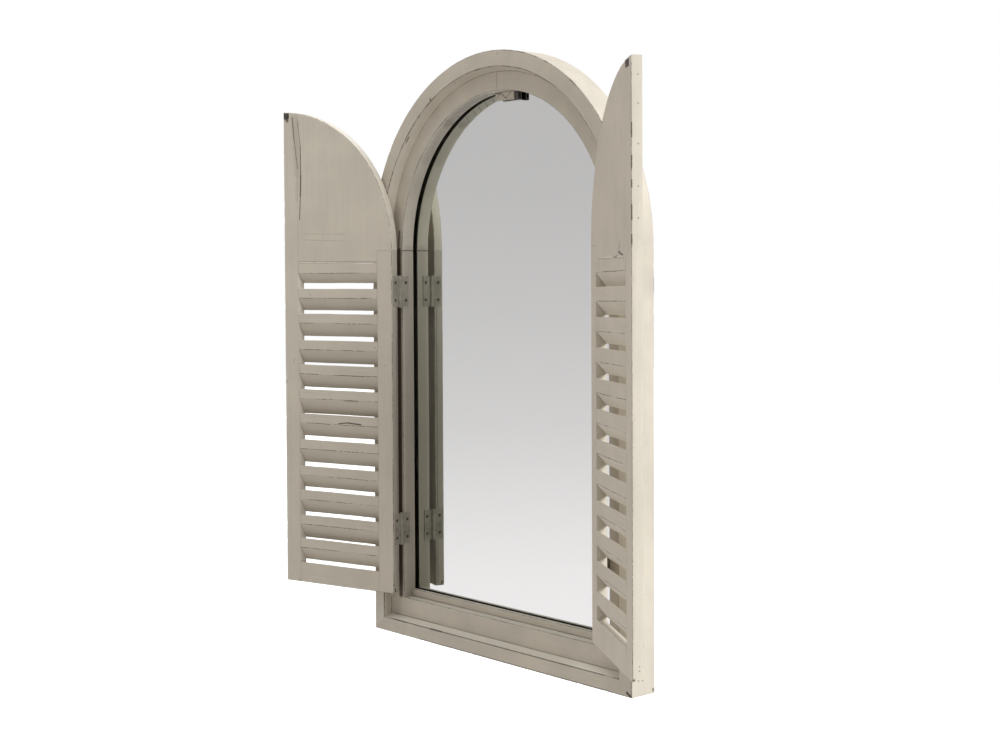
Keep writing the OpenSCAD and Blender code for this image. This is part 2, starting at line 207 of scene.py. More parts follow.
class Wires:
    """A node tree and the short calls that fill it."""

    def __init__(self, tree: Tree) -> None:
        """Takes a tree as it is."""
        self.tree = tree

    def node(self, kind: str, links: dict[object, object] | None = None, **settings: object) -> Node:
        """Adds a node, sets its properties and feeds its inputs.

        Args:
            kind: The node's type.
            links: What goes into each input, by name or number.
            settings: The node's properties.

        Returns:
            The node.
        """
        made = self.tree.nodes.new(kind)
        for key, value in settings.items():
            setattr(made, key, value)
        for key, value in (links or {}).items():
            self.feed(made.inputs[key], value)
        return made

    def feed(self, socket: Socket, value: object) -> None:
        """Links a socket to an input, or writes a constant there.

        Args:
            socket: The input.
            value: The output that it reads, or the constant.
        """
        if isinstance(value, bpy.types.NodeSocket):
            self.tree.links.new(value, socket)
        else:
            socket.default_value = value

    def math(self, operation: str, a: object, b: object = 0.0, clamp: bool = False) -> Socket:
        """Joins two numbers by an operation of the Math node."""
        return self.node("ShaderNodeMath", {0: a, 1: b}, operation=operation, use_clamp=clamp).outputs[0]

    def times(self, a: object, b: object) -> Socket:
        """Multiplies two numbers."""
        return self.math("MULTIPLY", a, b)

    def plus(self, a: object, b: object) -> Socket:
        """Adds two numbers."""
        return self.math("ADD", a, b)

    def minus(self, a: object, b: object) -> Socket:
        """Takes the second number from the first."""
        return self.math("SUBTRACT", a, b)

    def most(self, a: object, b: object) -> Socket:
        """Picks the larger of two numbers."""
        return self.math("MAXIMUM", a, b)

    def vector(self, operation: str, a: object, b: object, output: int | str = 0) -> Socket:
        """Joins two vectors by an operation of the Vector Math node."""
        return self.node("ShaderNodeVectorMath", {0: a, 1: b}, operation=operation).outputs[output]

    def scaled(self, source: object, factor: object) -> Socket:
        """Scales a vector by a number."""
        return self.node("ShaderNodeVectorMath", {0: source, "Scale": factor}, operation="SCALE").outputs[0]

    def parts(self, source: Socket) -> bpy.types.NodeOutputs:
        """Takes a vector apart into X, Y and Z."""
        return self.node("ShaderNodeSeparateXYZ", {0: source}).outputs

    def ramp(self, value: object, low: object, high: object, start: float = 0.0, end: float = 1.0) -> Socket:
        """Turns a range into another, smoothly and without leaving it.

        Args:
            value: The number to turn.
            low: Where the range begins.
            high: Where the range ends.
            start: What its beginning becomes.
            end: What its end becomes.

        Returns:
            The turned number.
        """
        given = {"Value": value, "From Min": low, "From Max": high, "To Min": start, "To Max": end}
        return self.node("ShaderNodeMapRange", given, interpolation_type="SMOOTHSTEP").outputs["Result"]

    def mixed(self, factor: Socket, under: Socket, over: Socket) -> Socket:
        """Mixes two shaders."""
        return self.node("ShaderNodeMixShader", {0: factor, 1: under, 2: over}).outputs[0]


class Shader(Wires):
    """One material's tree, around a principled surface."""

    def __init__(self, name: str) -> None:
        """Starts an empty material.

        Args:
            name: The material's name.
        """
        self.material = bpy.data.materials.new(name)
        self.material.use_nodes = True
        super().__init__(self.material.node_tree)
        self.tree.nodes.clear()
        self.surface = self.node("ShaderNodeBsdfPrincipled")
        self.node("ShaderNodeOutputMaterial", {"Surface": self.surface.outputs[0]})

    def layer(self, layer: Layer, output: str = "Fac") -> Socket:
        """Reads one of the piece's attributes."""
        return self.node("ShaderNodeAttribute", attribute_name=layer.value).outputs[output]

    def spot(self) -> Socket:
        """Reads the object's own coordinates."""
        return self.node("ShaderNodeTexCoord").outputs["Object"]

    def noise(self, source: Socket, scale: float, detail: float = 3.0, rough: float = 0.55) -> Socket:
        """Samples a noise from 0 to 1 at a vector.

        Args:
            source: The vector, in metres or stretched.
            scale: The noise's scale.
            detail: How many octaves it has.
            rough: How strong the finer octaves are.

        Returns:
            The noise's value.
        """
        given = {"Vector": source, "Scale": scale, "Detail": detail, "Roughness": rough}
        return self.node("ShaderNodeTexNoise", given).outputs["Fac"]

    def streaks(self, source: Socket, stretch: Triple, detail: float = 3.0, rough: float = 0.55) -> Socket:
        """Samples a noise that is drawn out, at a scale of its own on each axis."""
        return self.noise(self.vector("MULTIPLY", source, stretch), 1.0, detail, rough)

    def cells(self, source: Socket, scale: float) -> bpy.types.NodeOutputs:
        """Divides space into cells, with a distance and a colour for each."""
        return self.node("ShaderNodeTexVoronoi", {"Vector": source, "Scale": scale}).outputs

    def blend(self, factor: object, under: object, over: object) -> Socket:
        """Lays one colour over another.

        Args:
            factor: How much of the upper colour shows.
            under: The lower colour.
            over: The upper colour.

        Returns:
            The blended colour.
        """
        made = self.node("ShaderNodeMix", data_type="RGBA")
        sockets = {(i.name, i.type): i for i in made.inputs}
        self.feed(sockets["Factor", "VALUE"], factor)
        self.feed(sockets["A", "RGBA"], under)
        self.feed(sockets["B", "RGBA"], over)
        return next(o for o in made.outputs if o.type == "RGBA")

    def relief(self, height: Socket, distance: float) -> None:
        """Feeds a height in 0 to 1 to the surface as bump."""
        made = self.node("ShaderNodeBump", {"Strength": 1.0, "Distance": distance, "Height": height})
        self.set(Normal=made.outputs[0])

    def set(self, **values: object) -> None:
        """Feeds the surface's own sockets, with _ for a space."""
        for key, value in values.items():
            self.feed(self.surface.inputs[key.replace("_", " ")], value)


def opaque(colour: Triple) -> tuple[float, float, float, float]:
    """A colour with full alpha."""
    return (*colour, 1.0)


@dataclass(frozen=True)
class Mark:
    """A scratch, dent, nail dot or patch of painted shade: a short line in a piece's place coordinates, in
    millimetres.
    """

    start: Triple
    end: Triple
    width: float
    tone: Tone = Tone.DARK
    strength: float = 0.8
    ragged: float = 0.8


Marks = tuple[Mark, ...]


def stroke_group() -> Tree:
    """Builds, once, the group that shades the neighbourhood of a line.

    Returns:
        A shader group: the place, the line's ends, its half width and unevenness in, a mask out.
    """
    name = "stroke"
    if name in bpy.data.node_groups:
        return bpy.data.node_groups[name]
    group = bpy.data.node_groups.new(name, "ShaderNodeTree")
    for kind, keys in (("Vector", ("Place", "Start", "End")), ("Float", ("Width", "Loose"))):
        for key in keys:
            group.interface.new_socket(key, in_out="INPUT", socket_type=f"NodeSocket{kind}")
    group.interface.new_socket("Mask", in_out="OUTPUT", socket_type="NodeSocketFloat")
    wires = Wires(group)
    given = wires.node("NodeGroupInput").outputs
    run = wires.vector("SUBTRACT", given["End"], given["Start"])
    reach = wires.vector("SUBTRACT", given["Place"], given["Start"])
    shadow = wires.vector("DOT_PRODUCT", reach, run, "Value")
    along = wires.math("DIVIDE", shadow, wires.vector("DOT_PRODUCT", run, run, "Value"), clamp=True)
    gap = wires.vector("DISTANCE", reach, wires.scaled(run, along), "Value")
    core = wires.times(given["Width"], STROKE_CORE)
    mask = wires.ramp(wires.plus(gap, given["Loose"]), core, given["Width"], 1.0, 0.0)
    wires.node("NodeGroupOutput", {"Mask": mask})
    return group


# ---------- finishes ----------


@dataclass(frozen=True)
class PaintedWood:
    """Matt greige paint, brushed on over a pale undercoat and rubbed through at the arrises, with some
    painted light and shade laid into its colour.
    """

    name: str
    paint: Triple = (0.57, 0.52, 0.44)
    undercoat: Triple = (0.70, 0.66, 0.58)
    # bare wood at chips and scratches, and also the colour of painted shadows and of the painted shade in the
    # gap by the glass
    wood: Triple = (0.075, 0.058, 0.042)
    warm: Triple = (0.58, 0.51, 0.39)
    light: Triple = (0.60, 0.54, 0.455)
    # the grey of smears, and of painted shade on faces that stand in shade
    smear: Triple = (0.43, 0.39, 0.33)
    marks: Marks = ()
    chips: float = 0.5
    lined: float = 0.8
    line_from: float = 0.68
    unbroken: float = 0.0
    seams: float = 0.6
    # how much faces that look up or down are painted paler: painted light from above and below
    level: float = 0.0
    mottle: float = 1.0
    # past this depth the frame is painted dark: painted shade for the gap where it meets the glass
    raw_depth: float = 0.0
    sheen: float = 0.35
    bump: float = 0.12 * MM

    def material(self) -> Material:
        """Builds the paint's shader.

        Returns:
            The material.
        """
        s = Shader(self.name)
        place, grain = s.layer(Layer.PLACE, "Vector"), s.layer(Layer.GRAIN, "Vector")
        wear, joint = s.layer(Layer.WEAR), s.layer(Layer.JOINT)
        patch, brushed = s.noise(place, 34.0, 4.0), s.streaks(grain, (9.0, 420.0, 420.0))
        grit, fine = s.noise(place, 420.0, 4.0, 0.7), s.noise(place, 1500.0, 2.0)
        colour = self._coat(s, place, patch, brushed)
        # painted light: faces that look up or down blend towards the pale undercoat, as if lit from above and
        # below
        if self.level:
            upright = s.parts(s.node("ShaderNodeNewGeometry").outputs["Normal"])["Z"]
            flat = s.ramp(s.math("ABSOLUTE", upright), 0.35, 0.9, 0.0, self.level)
            colour = s.blend(flat, colour, opaque(self.undercoat))
        rim, bare = self._rubbed(s, place, wear, patch, grit)
        colour = s.blend(s.times(rim, 0.35), colour, opaque(self.undercoat))
        seam = s.times(s.ramp(joint, 0.4, 1.0), s.ramp(grit, 0.3, 0.62, 0.25, 1.0))
        dark = s.most(s.most(self._specked(s, place, grain), s.times(seam, self.seams)), bare)
        # painted shade: past this depth the frame darkens to the dark tone, standing for the shadow in the
        # gap at the glass
        if self.raw_depth:
            raw = s.ramp(s.parts(place)["Y"], self.raw_depth, self.raw_depth + 0.8 * MM, 0.0, 0.95)
            dark = s.most(dark, raw)
        masks = self._marked(s, s.scaled(place, 1 / MM), dark)
        for tone, paint in ((Tone.GREY, self.smear), (Tone.PALE, self.undercoat), (Tone.DARK, self.wood)):
            if masks[tone] is not None:
                colour = s.blend(masks[tone], colour, opaque(paint))
        s.set(Base_Color=colour, Roughness=s.ramp(grit, 0.2, 0.8, 0.56, 0.72), Specular_IOR_Level=self.sheen)
        height = s.plus(s.times(brushed, 0.55), s.times(fine, 0.16))
        height = s.minus(height, s.times(masks[Tone.DARK], 1.1))
        s.relief(s.minus(height, s.times(rim, 0.25)), self.bump)
        return s.material

    def _coat(self, s: Shader, place: Socket, patch: Socket, brushed: Socket) -> Socket:
        """Mixes the coat's own colour: cloudy, with brush marks along the grain.

        Args:
            s: The shader being built.
            place: The piece's place coordinates.
            patch: A noise of hand-sized patches.
            brushed: A noise drawn out along the grain.

        Returns:
            The colour.
        """
        cloud, m = s.noise(place, 9.0), self.mottle
        shade = s.ramp(cloud, 0.3, 0.7, 1 - 0.045 * m, 1 + 0.035 * m)
        shade = s.plus(shade, s.ramp(brushed, 0.25, 0.75, -0.026, 0.026))
        shade = s.plus(shade, s.ramp(patch, 0.3, 0.7, -0.018 * m, 0.018 * m))
        toned = s.scaled(self.paint, shade)
        warm = s.blend(s.ramp(patch, 0.45, 0.8, 0.0, 0.16 * m), toned, opaque(self.warm))
        return s.blend(s.ramp(cloud, 0.5, 0.72, 0.0, 0.35), warm, opaque(self.light))

    def _rubbed(self, s: Shader, place: Socket, wear: Socket, patch: Socket, grit: Socket) -> list[Socket]:
        """Rubs the arrises: a thin undercoat rim, chips, and broken dark lines along the very edge.

        Args:
            s: The shader being built.
            place: The piece's place coordinates.
            wear: How near a point is to an arris.
            patch: A noise of hand-sized patches.
            grit: A fine noise.

        Returns:
            The masks of the undercoat rim and of the bare wood.
        """
        rub = s.plus(s.times(wear, 0.62), s.times(s.minus(grit, 0.5), 1.1))
        rub = s.plus(rub, s.times(s.minus(patch, 0.5), 1.5))
        rim = s.times(s.ramp(rub, 0.38, 0.62), s.ramp(wear, 0.12, 0.5))
        start = 1.02 - self.chips * 0.5
        chips = s.times(s.ramp(rub, start, start + 0.04), s.ramp(wear, 0.25, 0.6))
        stretch, broken = s.noise(place, 26.0), s.noise(place, 150.0, 3.0, 0.65)
        run = s.times(s.ramp(stretch, 0.38, 0.54), s.ramp(broken, 0.36, 0.52))
        edge = s.ramp(wear, self.line_from, self.line_from + 0.24)
        line = s.times(s.times(edge, s.most(run, self.unbroken)), self.lined)
        return [rim, s.most(s.times(chips, 0.82), line)]

    def _specked(self, s: Shader, place: Socket, grain: Socket) -> Socket:
        """Draws hairlines along the grain in a few places, and small pits.

        Args:
            s: The shader being built.
            place: The piece's place coordinates.
            grain: The coordinates along and across the grain.

        Returns:
            The mask of both.
        """
        hair = s.ramp(s.streaks(grain, (13.0, 1500.0, 1500.0), 2.0), 0.63, 0.69)
        zone = s.ramp(s.noise(place, 21.0, 2.0), 0.57, 0.68)
        pits = s.cells(place, 85.0)
        picked = s.node("ShaderNodeSeparateColor", {0: pits["Color"]}).outputs[0]
        pit = s.times(s.ramp(pits["Distance"], 0.03, 0.075, 1.0, 0.0), s.math("GREATER_THAN", picked, 0.95))
        return s.most(s.times(s.times(hair, zone), 0.26), s.times(pit, 0.55))

    def _marked(self, s: Shader, spot: Socket, dark: Socket) -> dict[Tone, Socket | None]:
        """Adds the explicit marks to the masks.

        Args:
            s: The shader being built.
            spot: The place, in millimetres.
            dark: The dark mask so far.

        Returns:
            A mask for each tone that has any marks, the dark one with the marks in it.
        """
        masks: dict[Tone, Socket | None] = {Tone.DARK: dark, Tone.PALE: None, Tone.GREY: None}
        uneven = s.minus(s.noise(spot, 0.55), 0.5)
        loose = {ragged: s.times(uneven, ragged) for ragged in {mark.ragged for mark in self.marks}}
        for mark in self.marks:
            line = {"Start": mark.start, "End": mark.end, "Width": mark.width}
            given = {"Place": spot, **line, "Loose": loose[mark.ragged]}
            made = s.node("ShaderNodeGroup", given, node_tree=stroke_group())
            mask = s.times(made.outputs["Mask"], mark.strength)
            held = masks[mark.tone]
            masks[mark.tone] = mask if held is None else s.most(held, mask)
        return masks


@dataclass(frozen=True)
class PaintedMetal:
    """Steel painted over with the wood, chipped to dark metal."""

    name: str = "hinge_paint"
    paint: Triple = (0.36, 0.335, 0.27)
    worn_paint: Triple = (0.27, 0.25, 0.20)
    steel: Triple = (0.13, 0.12, 0.105)
    chipped: float = 0.1
    bump: float = 0.08 * MM

    def material(self) -> Material:
        """Builds the shader, on object coordinates.

        Returns:
            The material.
        """
        s = Shader(self.name)
        spot = s.spot()
        patch, cloud, grit = s.noise(spot, 210.0, 5.0, 0.65), s.noise(spot, 60.0), s.noise(spot, 1400.0)
        start = 0.66 - 0.2 * self.chipped
        bare = s.ramp(s.plus(patch, s.times(s.minus(grit, 0.5), 0.2)), start, start + 0.04)
        coat = s.blend(s.ramp(cloud, 0.35, 0.7), opaque(self.paint), opaque(self.worn_paint))
        s.set(Base_Color=s.blend(bare, coat, opaque(self.steel)), Metallic=s.times(bare, 0.6))
        s.set(Roughness=s.ramp(bare, 0.0, 1.0, 0.55, 0.42))
        s.relief(s.minus(s.times(grit, 0.4), bare), self.bump)
        return s.material


@dataclass(frozen=True)
class ScuffedSteel:
    """Bare or plated sheet steel with streaks and dull spots."""

    name: str
    plate: Triple
    dull: Triple
    metallic: float = 1.0
    rough: Pair = (0.32, 0.55)
    rust: Triple = (0.16, 0.12, 0.09)
    bump: float = 0.03 * MM

    def material(self) -> Material:
        """Builds the shader, on object coordinates.

        Returns:
            The material.
        """
        s = Shader(self.name)
        spot = s.spot()
        scuffs = s.streaks(spot, (90.0, 700.0, 1400.0), 4.0, 0.6)
        uneven = s.plus(s.times(scuffs, 0.7), s.times(s.cells(spot, 260.0)["Distance"], 0.35))
        base = s.blend(s.ramp(uneven, 0.35, 0.7), opaque(self.plate), opaque(self.dull))
        stain = s.ramp(s.noise(spot, 120.0, 4.0), 0.58, 0.72, 0.0, 0.6)
        s.set(Base_Color=s.blend(stain, base, opaque(self.rust)), Metallic=self.metallic)
        s.set(Roughness=s.ramp(uneven, 0.3, 0.75, *self.rough))
        s.relief(scuffs, self.bump)
        return s.material


@dataclass(frozen=True)
class Plywood:
    """A raw sheet of thin plywood: pale wood with grain lines and pores."""

    name: str = "plywood"
    early: Triple = (0.60, 0.45, 0.28)
    late: Triple = (0.43, 0.29, 0.165)
    bleached: Triple = (0.66, 0.53, 0.36)
    pore: Triple = (0.22, 0.14, 0.08)
    bump: float = 0.08 * MM

    def material(self) -> Material:
        """Builds the shader, on object coordinates.

        Returns:
            The material.
        """
        s = Shader(self.name)
        spot = s.spot()
        flow = s.streaks(spot, (14.0, 14.0, 2.2), 4.0)
        figure = s.streaks(spot, (95.0, 4.0, 5.5), 5.0, 0.6)
        pores = s.streaks(spot, (1300.0, 1300.0, 30.0), 2.0)
        wood = s.blend(s.ramp(figure, 0.3, 0.72), opaque(self.early), opaque(self.late))
        wood = s.blend(s.ramp(flow, 0.4, 0.75, 0.0, 0.5), wood, opaque(self.bleached))
        wood = s.blend(s.ramp(pores, 0.62, 0.74, 0.0, 0.45), wood, opaque(self.pore))
        s.set(Base_Color=wood, Roughness=s.ramp(figure, 0.2, 0.8, 0.66, 0.82))
        s.relief(s.plus(s.times(pores, -0.5), s.times(figure, 0.4)), self.bump)
        return s.material


@dataclass(frozen=True)
class Felt:
    """Matted dark felt with a fibrous nap."""

    name: str = "felt"
    deep: Triple = (0.045, 0.038, 0.032)
    tips: Triple = (0.16, 0.14, 0.12)
    dust: Triple = (0.10, 0.085, 0.07)
    bump: float = 0.25 * MM

    def material(self) -> Material:
        """Builds the shader, on object coordinates.

        Returns:
            The material.
        """
        s = Shader(self.name)
        spot = s.spot()
        nap = s.noise(s.vector("MULTIPLY", spot, (1.0, 1.0, 0.6)), 2600.0, 5.0, 0.7)
        fibre = s.blend(s.ramp(nap, 0.3, 0.7), opaque(self.deep), opaque(self.tips))
        clump = s.ramp(s.noise(spot, 500.0), 0.4, 0.8, 0.0, 0.4)
        s.set(Base_Color=s.blend(clump, fibre, opaque(self.dust)), Roughness=0.95, Sheen_Weight=0.3)
        s.relief(nap, self.bump)
        return s.material


@dataclass(frozen=True)
class ClearGlass:
    """The mirror's float glass, faintly green, which hardly bends what lies behind it."""

    name: str = "clear_glass"
    tint: Triple = (0.985, 0.995, 0.99)
    deeper: Triple = (0.975, 0.99, 0.985)
    bend: float = 1.05

    def material(self) -> Material:
        """Builds the shader, on object coordinates.

        Returns:
            The material.
        """
        s = Shader(self.name)
        cloud = s.noise(s.spot(), 3.0, 2.0)
        s.set(Base_Color=s.blend(cloud, opaque(self.tint), opaque(self.deeper)), IOR=self.bend)
        s.set(Transmission_Weight=1.0, Roughness=0.0)
        return s.material


@dataclass(frozen=True)
class Silvering:
    """The mirror's silver coat, with a faint haze in it."""

    name: str = "silvering"
    bright: Triple = (0.821, 0.840, 0.797)
    dull: Triple = (0.808, 0.827, 0.789)

    def material(self) -> Material:
        """Builds the shader, on object coordinates.

        Returns:
            The material.
        """
        s = Shader(self.name)
        haze = s.ramp(s.noise(s.spot(), 40.0, 4.0), 0.4, 0.9, 0.0, 0.3)
        s.set(Base_Color=s.blend(haze, opaque(self.bright), opaque(self.dull)), Metallic=1.0, Roughness=0.0)
        return s.material


# ---------- meshes ----------


@dataclass
class Skin:
    """The points and faces of a piece, with what the paint reads from them."""

    points: list[Vector] = field(default_factory=list)
    places: list[Vector] = field(default_factory=list)
    grains: list[Vector] = field(default_factory=list)
    wears: list[float] = field(default_factory=list)
    joints: list[float] = field(default_factory=list)
    faces: list[tuple[int, ...]] = field(default_factory=list)

    @property
    def columns(self) -> tuple[list, ...]:
        """What is known of each point."""
        return (self.points, self.places, self.grains, self.wears, self.joints)

    def add(self, *values: Vector | float) -> None:
        """Adds a point: where it is, its place, its grain, its wear and its joint."""
        for column, value in zip(self.columns, values):
            column.append(value)

    def take(self, more: "Skin") -> None:
        """Takes in another skin.

        Args:
            more: The other skin.
        """
        base = len(self.points)
        for column, others in zip(self.columns, more.columns):
            column.extend(others)
        self.faces.extend(tuple(base + i for i in face) for face in more.faces)

    def wrap(self, count: int) -> None:
        """Joins the points, which are in rings, by faces, and caps both ends.

        Args:
            count: How many points a ring has.
        """
        total = len(self.points)
        for start in range(0, total - count, count):
            for k in range(count):
                here, following = start + k, start + (k + 1) % count
                self.faces.append((here, following, following + count, here + count))
        self.faces.append(tuple(range(count)))
        self.faces.append(tuple(range(total - count, total))[::-1])

    def piece(self, name: str, coat: Material, move: Matrix | None = None) -> Object:
        """Makes the piece's object at the origin.

        Args:
            name: The object's name.
            coat: Its material.
            move: Takes the points to where the piece is.

        Returns:
            The object, shaded smooth between its arrises.
        """
        mesh = bpy.data.meshes.new(name)
        mesh.from_pydata([tuple(p) for p in self.points], [], self.faces)
        for layer, values in ((Layer.PLACE, self.places), (Layer.GRAIN, self.grains)):
            kept = mesh.attributes.new(layer.value, "FLOAT_VECTOR", "POINT")
            kept.data.foreach_set("vector", np.array(values, np.float32).ravel())
        for layer, values in ((Layer.WEAR, self.wears), (Layer.JOINT, self.joints)):
            kept = mesh.attributes.new(layer.value, "FLOAT", "POINT")
            kept.data.foreach_set("value", np.array(values, np.float32))
        if move is not None:
            mesh.transform(move)
        return finished(mesh, name, coat)


def finished(mesh: bpy.types.Mesh, name: str, coat: Material) -> Object:
    """Turns a mesh's faces outwards, smooths it and puts it in the scene.

    Args:
        mesh: A closed mesh, in its place.
        name: The object's name.
        coat: The material.

    Returns:
        The object.
    """
    shell = bmesh.new()
    shell.from_mesh(mesh)
    bmesh.ops.recalc_face_normals(shell, faces=shell.faces)
    shell.to_mesh(mesh)
    shell.free()
    mesh.materials.clear()
    mesh.materials.append(coat)
    mesh.shade_smooth()
    mesh.set_sharp_from_angle(angle=SMOOTH_BELOW)
    made = bpy.data.objects.new(name, mesh)
    bpy.context.scene.collection.objects.link(made)
    return made


def rough_cut(spot: Vector, wear: float, seed: float, waviness: float, chipping: float) -> float:
    """Says how far a point of the surface lies under its true place.

    Args:
        spot: The point's place, in metres.
        wear: How near it is to an arris, from 0 to 1.
        seed: Sets pieces apart from each other.
        waviness: Height of the long waves, in metres.
        chipping: Depth of the chips at an arris, in metres.

    Returns:
        The depth, zero or more.
    """
    shift = Vector((seed * 7.3, seed * 3.1, -seed * 5.7))
    long, short, shorter = (
        noise.noise(spot * scale + way) for scale, way in zip(WAVES, (shift, shift, -shift)))
    chip = max(0.0, short * 0.7 + shorter * 0.5 - CHIP_FROM)
    lost = chipping * min(1.0, chip * CHIP_GAIN) + waviness * 0.6 * max(0.0, short)
    return waviness * (0.5 + 0.5 * long) + wear * lost


@dataclass(frozen=True)
class LoopPoint:
    """A point of a section: across, depth, outward normal and nearness to an arris."""

    a: float
    b: float
    na: float
    nb: float
    wear: float


@dataclass(frozen=True)
class Section:
    """A closed outline of corners in (across, depth), each corner eased by a radius."""

    corners: tuple[Pair, ...]
    radii: tuple[float, ...]
    step: float = 7 * MM
    near: float = 0.9 * MM
    least: float = 0.2 * MM
    wears: tuple[float, ...] = (0.5, 0.85, 1.0, 0.85, 0.5)

    def loop(self) -> list[LoopPoint]:
        """Traces the outline with its eased corners.

        Returns:
            The points in order, with outward normals.
        """
        corners = self.corners
        turned = sum(p[0] * q[1] - q[0] * p[1] for p, q in zip(corners, corners[1:] + corners[:1]))
        sign = 1.0 if turned > 0 else -1.0
        arcs = [self._corner(i, sign) for i in range(len(corners))]
        points: list[LoopPoint] = []
        for arc, following in zip(arcs, arcs[1:] + arcs[:1]):
            points.extend(arc)
            points.extend(self._flat(arc[-1], following[0], sign))
        return points

    def _corner(self, number: int, sign: float) -> list[LoopPoint]:
        """Rounds one corner.

        Args:
            number: Which corner it is.
            sign: The way that the outline turns.

        Returns:
            The points of its rounding.
        """
        before, corner = Vector(self.corners[number - 1]), Vector(self.corners[number])
        after, radius = Vector(self.corners[(number + 1) % len(self.corners)]), self.radii[number]
        u, v = (before - corner).normalized(), (after - corner).normalized()
        half = math.acos(max(-1.0, min(1.0, u.dot(v)))) / 2
        tangent = radius / math.tan(half)
        centre = corner + (u + v).normalized() * (radius / math.sin(half))
        first, last = corner + u * tangent - centre, corner + v * tangent - centre
        run, on = corner - before, after - corner
        convex = (run.x * on.y - run.y * on.x) * sign > 0
        facing = 1.0 if convex else -1.0
        made = []
        for k, wear in enumerate(self.wears):
            t = k / (len(self.wears) - 1)
            out = (first * (1 - t) + last * t).normalized()
            spot = centre + out * radius
            made.append(LoopPoint(spot.x, spot.y, out.x * facing, out.y * facing, wear if convex else 0.0))
        return made

    def _flat(self, start: LoopPoint, end: LoopPoint, sign: float) -> list[LoopPoint]:
        """Divides the straight between two eased corners.

        Args:
            start: The last point of one corner.
            end: The first point of the next.
            sign: The way that the outline turns.

        Returns:
            The points between them, with one close to each corner.
        """
        run = Vector((end.a - start.a, end.b - start.b))
        length = run.length
        normal = Vector((run.y, -run.x)).normalized() * sign
        near = min(self.near, length * 0.3)
        spots = [near / length] if length > self.least else []
        between = max(1, round((length - 2 * near) / self.step))
        spots += [(near + (length - 2 * near) * k / between) / length for k in range(1, between)]
        spots += [1 - near / length] if length > self.least else []
        return [LoopPoint(start.a + run.x * t, start.b + run.y * t, normal.x, normal.y, 0.0) for t in spots]


@dataclass(frozen=True)
class Member:
    """A section swept along a straight or round member, with a fine groove where it meets its neighbours."""

    section: Section
    along: Callable[[float, float], Vector]
    length: float
    seed: float
    row: float = 3.2 * MM
    waviness: float = 0.10 * MM
    chipping: float = 0.45 * MM
    groove: float = 0.12 * MM
    groove_w: float = 0.5 * MM
    ends: Pair = (1.0, 1.0)

    def skin(self, side: Side = Side.RIGHT) -> Skin:
        """Builds the member's surface.

        Args:
            side: RIGHT as drawn, or LEFT for the mirror image.

        Returns:
            The surface, closed by a cap at each end.
        """
        made = Skin()
        loop = self.section.loop()
        rows = max(4, round(self.length / self.row))
        near = self.groove_w / self.length
        spots = [0.0, near * 0.5, near] + [k / rows for k in range(1, rows)] + [1 - near, 1 - near * 0.5, 1.0]
        flip = Vector((side.value, 1, 1))
        for t in spots:
            end = max(0.0, 1 - min(t, 1 - t) / near) * self.ends[t > 0.5]
            for p in loop:
                drawn = self.along(t, p.a)
                true = Vector((drawn.x, p.b, drawn.z)) * flip
                depth = rough_cut(true, p.wear, self.seed + side.value, self.waviness, self.chipping)
                depth += self.groove * end
                cut = self.along(t, p.a - p.na * depth)
                point = Vector((cut.x, p.b - p.nb * depth, cut.z)) * flip + Vector((0, 0, SIZES.spring))
                place = Vector((true.x, true.y - SIZES.front, true.z))
                made.add(point, place, Vector((t * self.length, p.a, p.b)), p.wear, end)
        made.wrap(len(loop))
        return made


@dataclass
class Outline:
    """A closed outline in X and Z, drawn line by line, with each stretch's easing."""

    points: list[Vector] = field(default_factory=list)
    easing: list[float] = field(default_factory=list)
    joint: list[bool] = field(default_factory=list)
    step: float = 2.6 * MM

    def start(self, x: float, z: float, ease: float = EASE) -> "Outline":
        """Sets the first point."""
        self.points, self.easing, self.joint = [Vector((x, z))], [ease], [False]
        return self

    def line(self, x: float, z: float, ease: float = EASE, joint: bool = False) -> "Outline":
        """Draws a straight line to a point.

        Args:
            x: The point's place across.
            z: Its height.
            ease: How far the arris along the line is eased.
            joint: Whether the line meets another board.

        Returns:
            The outline.
        """
        here, there = self.points[-1], Vector((x, z))
        count = max(1, round((there - here).length / self.step))
        for k in range(1, count + 1):
            self._put(here.lerp(there, k / count), ease, joint)
        return self

    def arc(
        self, radius: float, start: float, end: float, centre: Pair = (0.0, 0.0), ease: float = EASE
    ) -> "Outline":
        """Draws an arc between two angles in radians, from the point before it.

        Args:
            radius: Its radius.
            start: The angle at which it starts.
            end: The angle at which it ends.
            centre: Its centre.
            ease: How far the arris along it is eased.

        Returns:
            The outline.
        """
        count = max(3, round(abs(end - start) * radius / self.step))
        for k in range(1, count + 1):
            turn = start + (end - start) * k / count
            self._put(Vector(centre) + Vector((math.cos(turn), math.sin(turn))) * radius, ease, False)
        return self

    def _put(self, spot: Vector, ease: float, joint: bool) -> None:
        """Adds a point unless it repeats the last.

        Args:
            spot: The point.
            ease: How far the arris there is eased.
            joint: Whether it meets another board.
        """
        if (spot - self.points[-1]).length > SAME_SPOT:
            self.points.append(spot)
            self.easing.append(ease)
            self.joint.append(joint)

    def closed(self) -> "Outline":
        """Drops a last point that repeats the first.

        Returns:
            The outline.
        """
        if (self.points[0] - self.points[-1]).length < SAME_END:
            self.points.pop()
            self.easing[0] = min(self.easing[0], self.easing.pop())
            self.joint.pop()
        return self


@dataclass(frozen=True)
class Ring:
    """A ring of a board's points: how far in and how far along in easing radii, its wear, and flatness."""

    inset: float
    lift: float
    wear: float = 0.0
    flat: bool = False


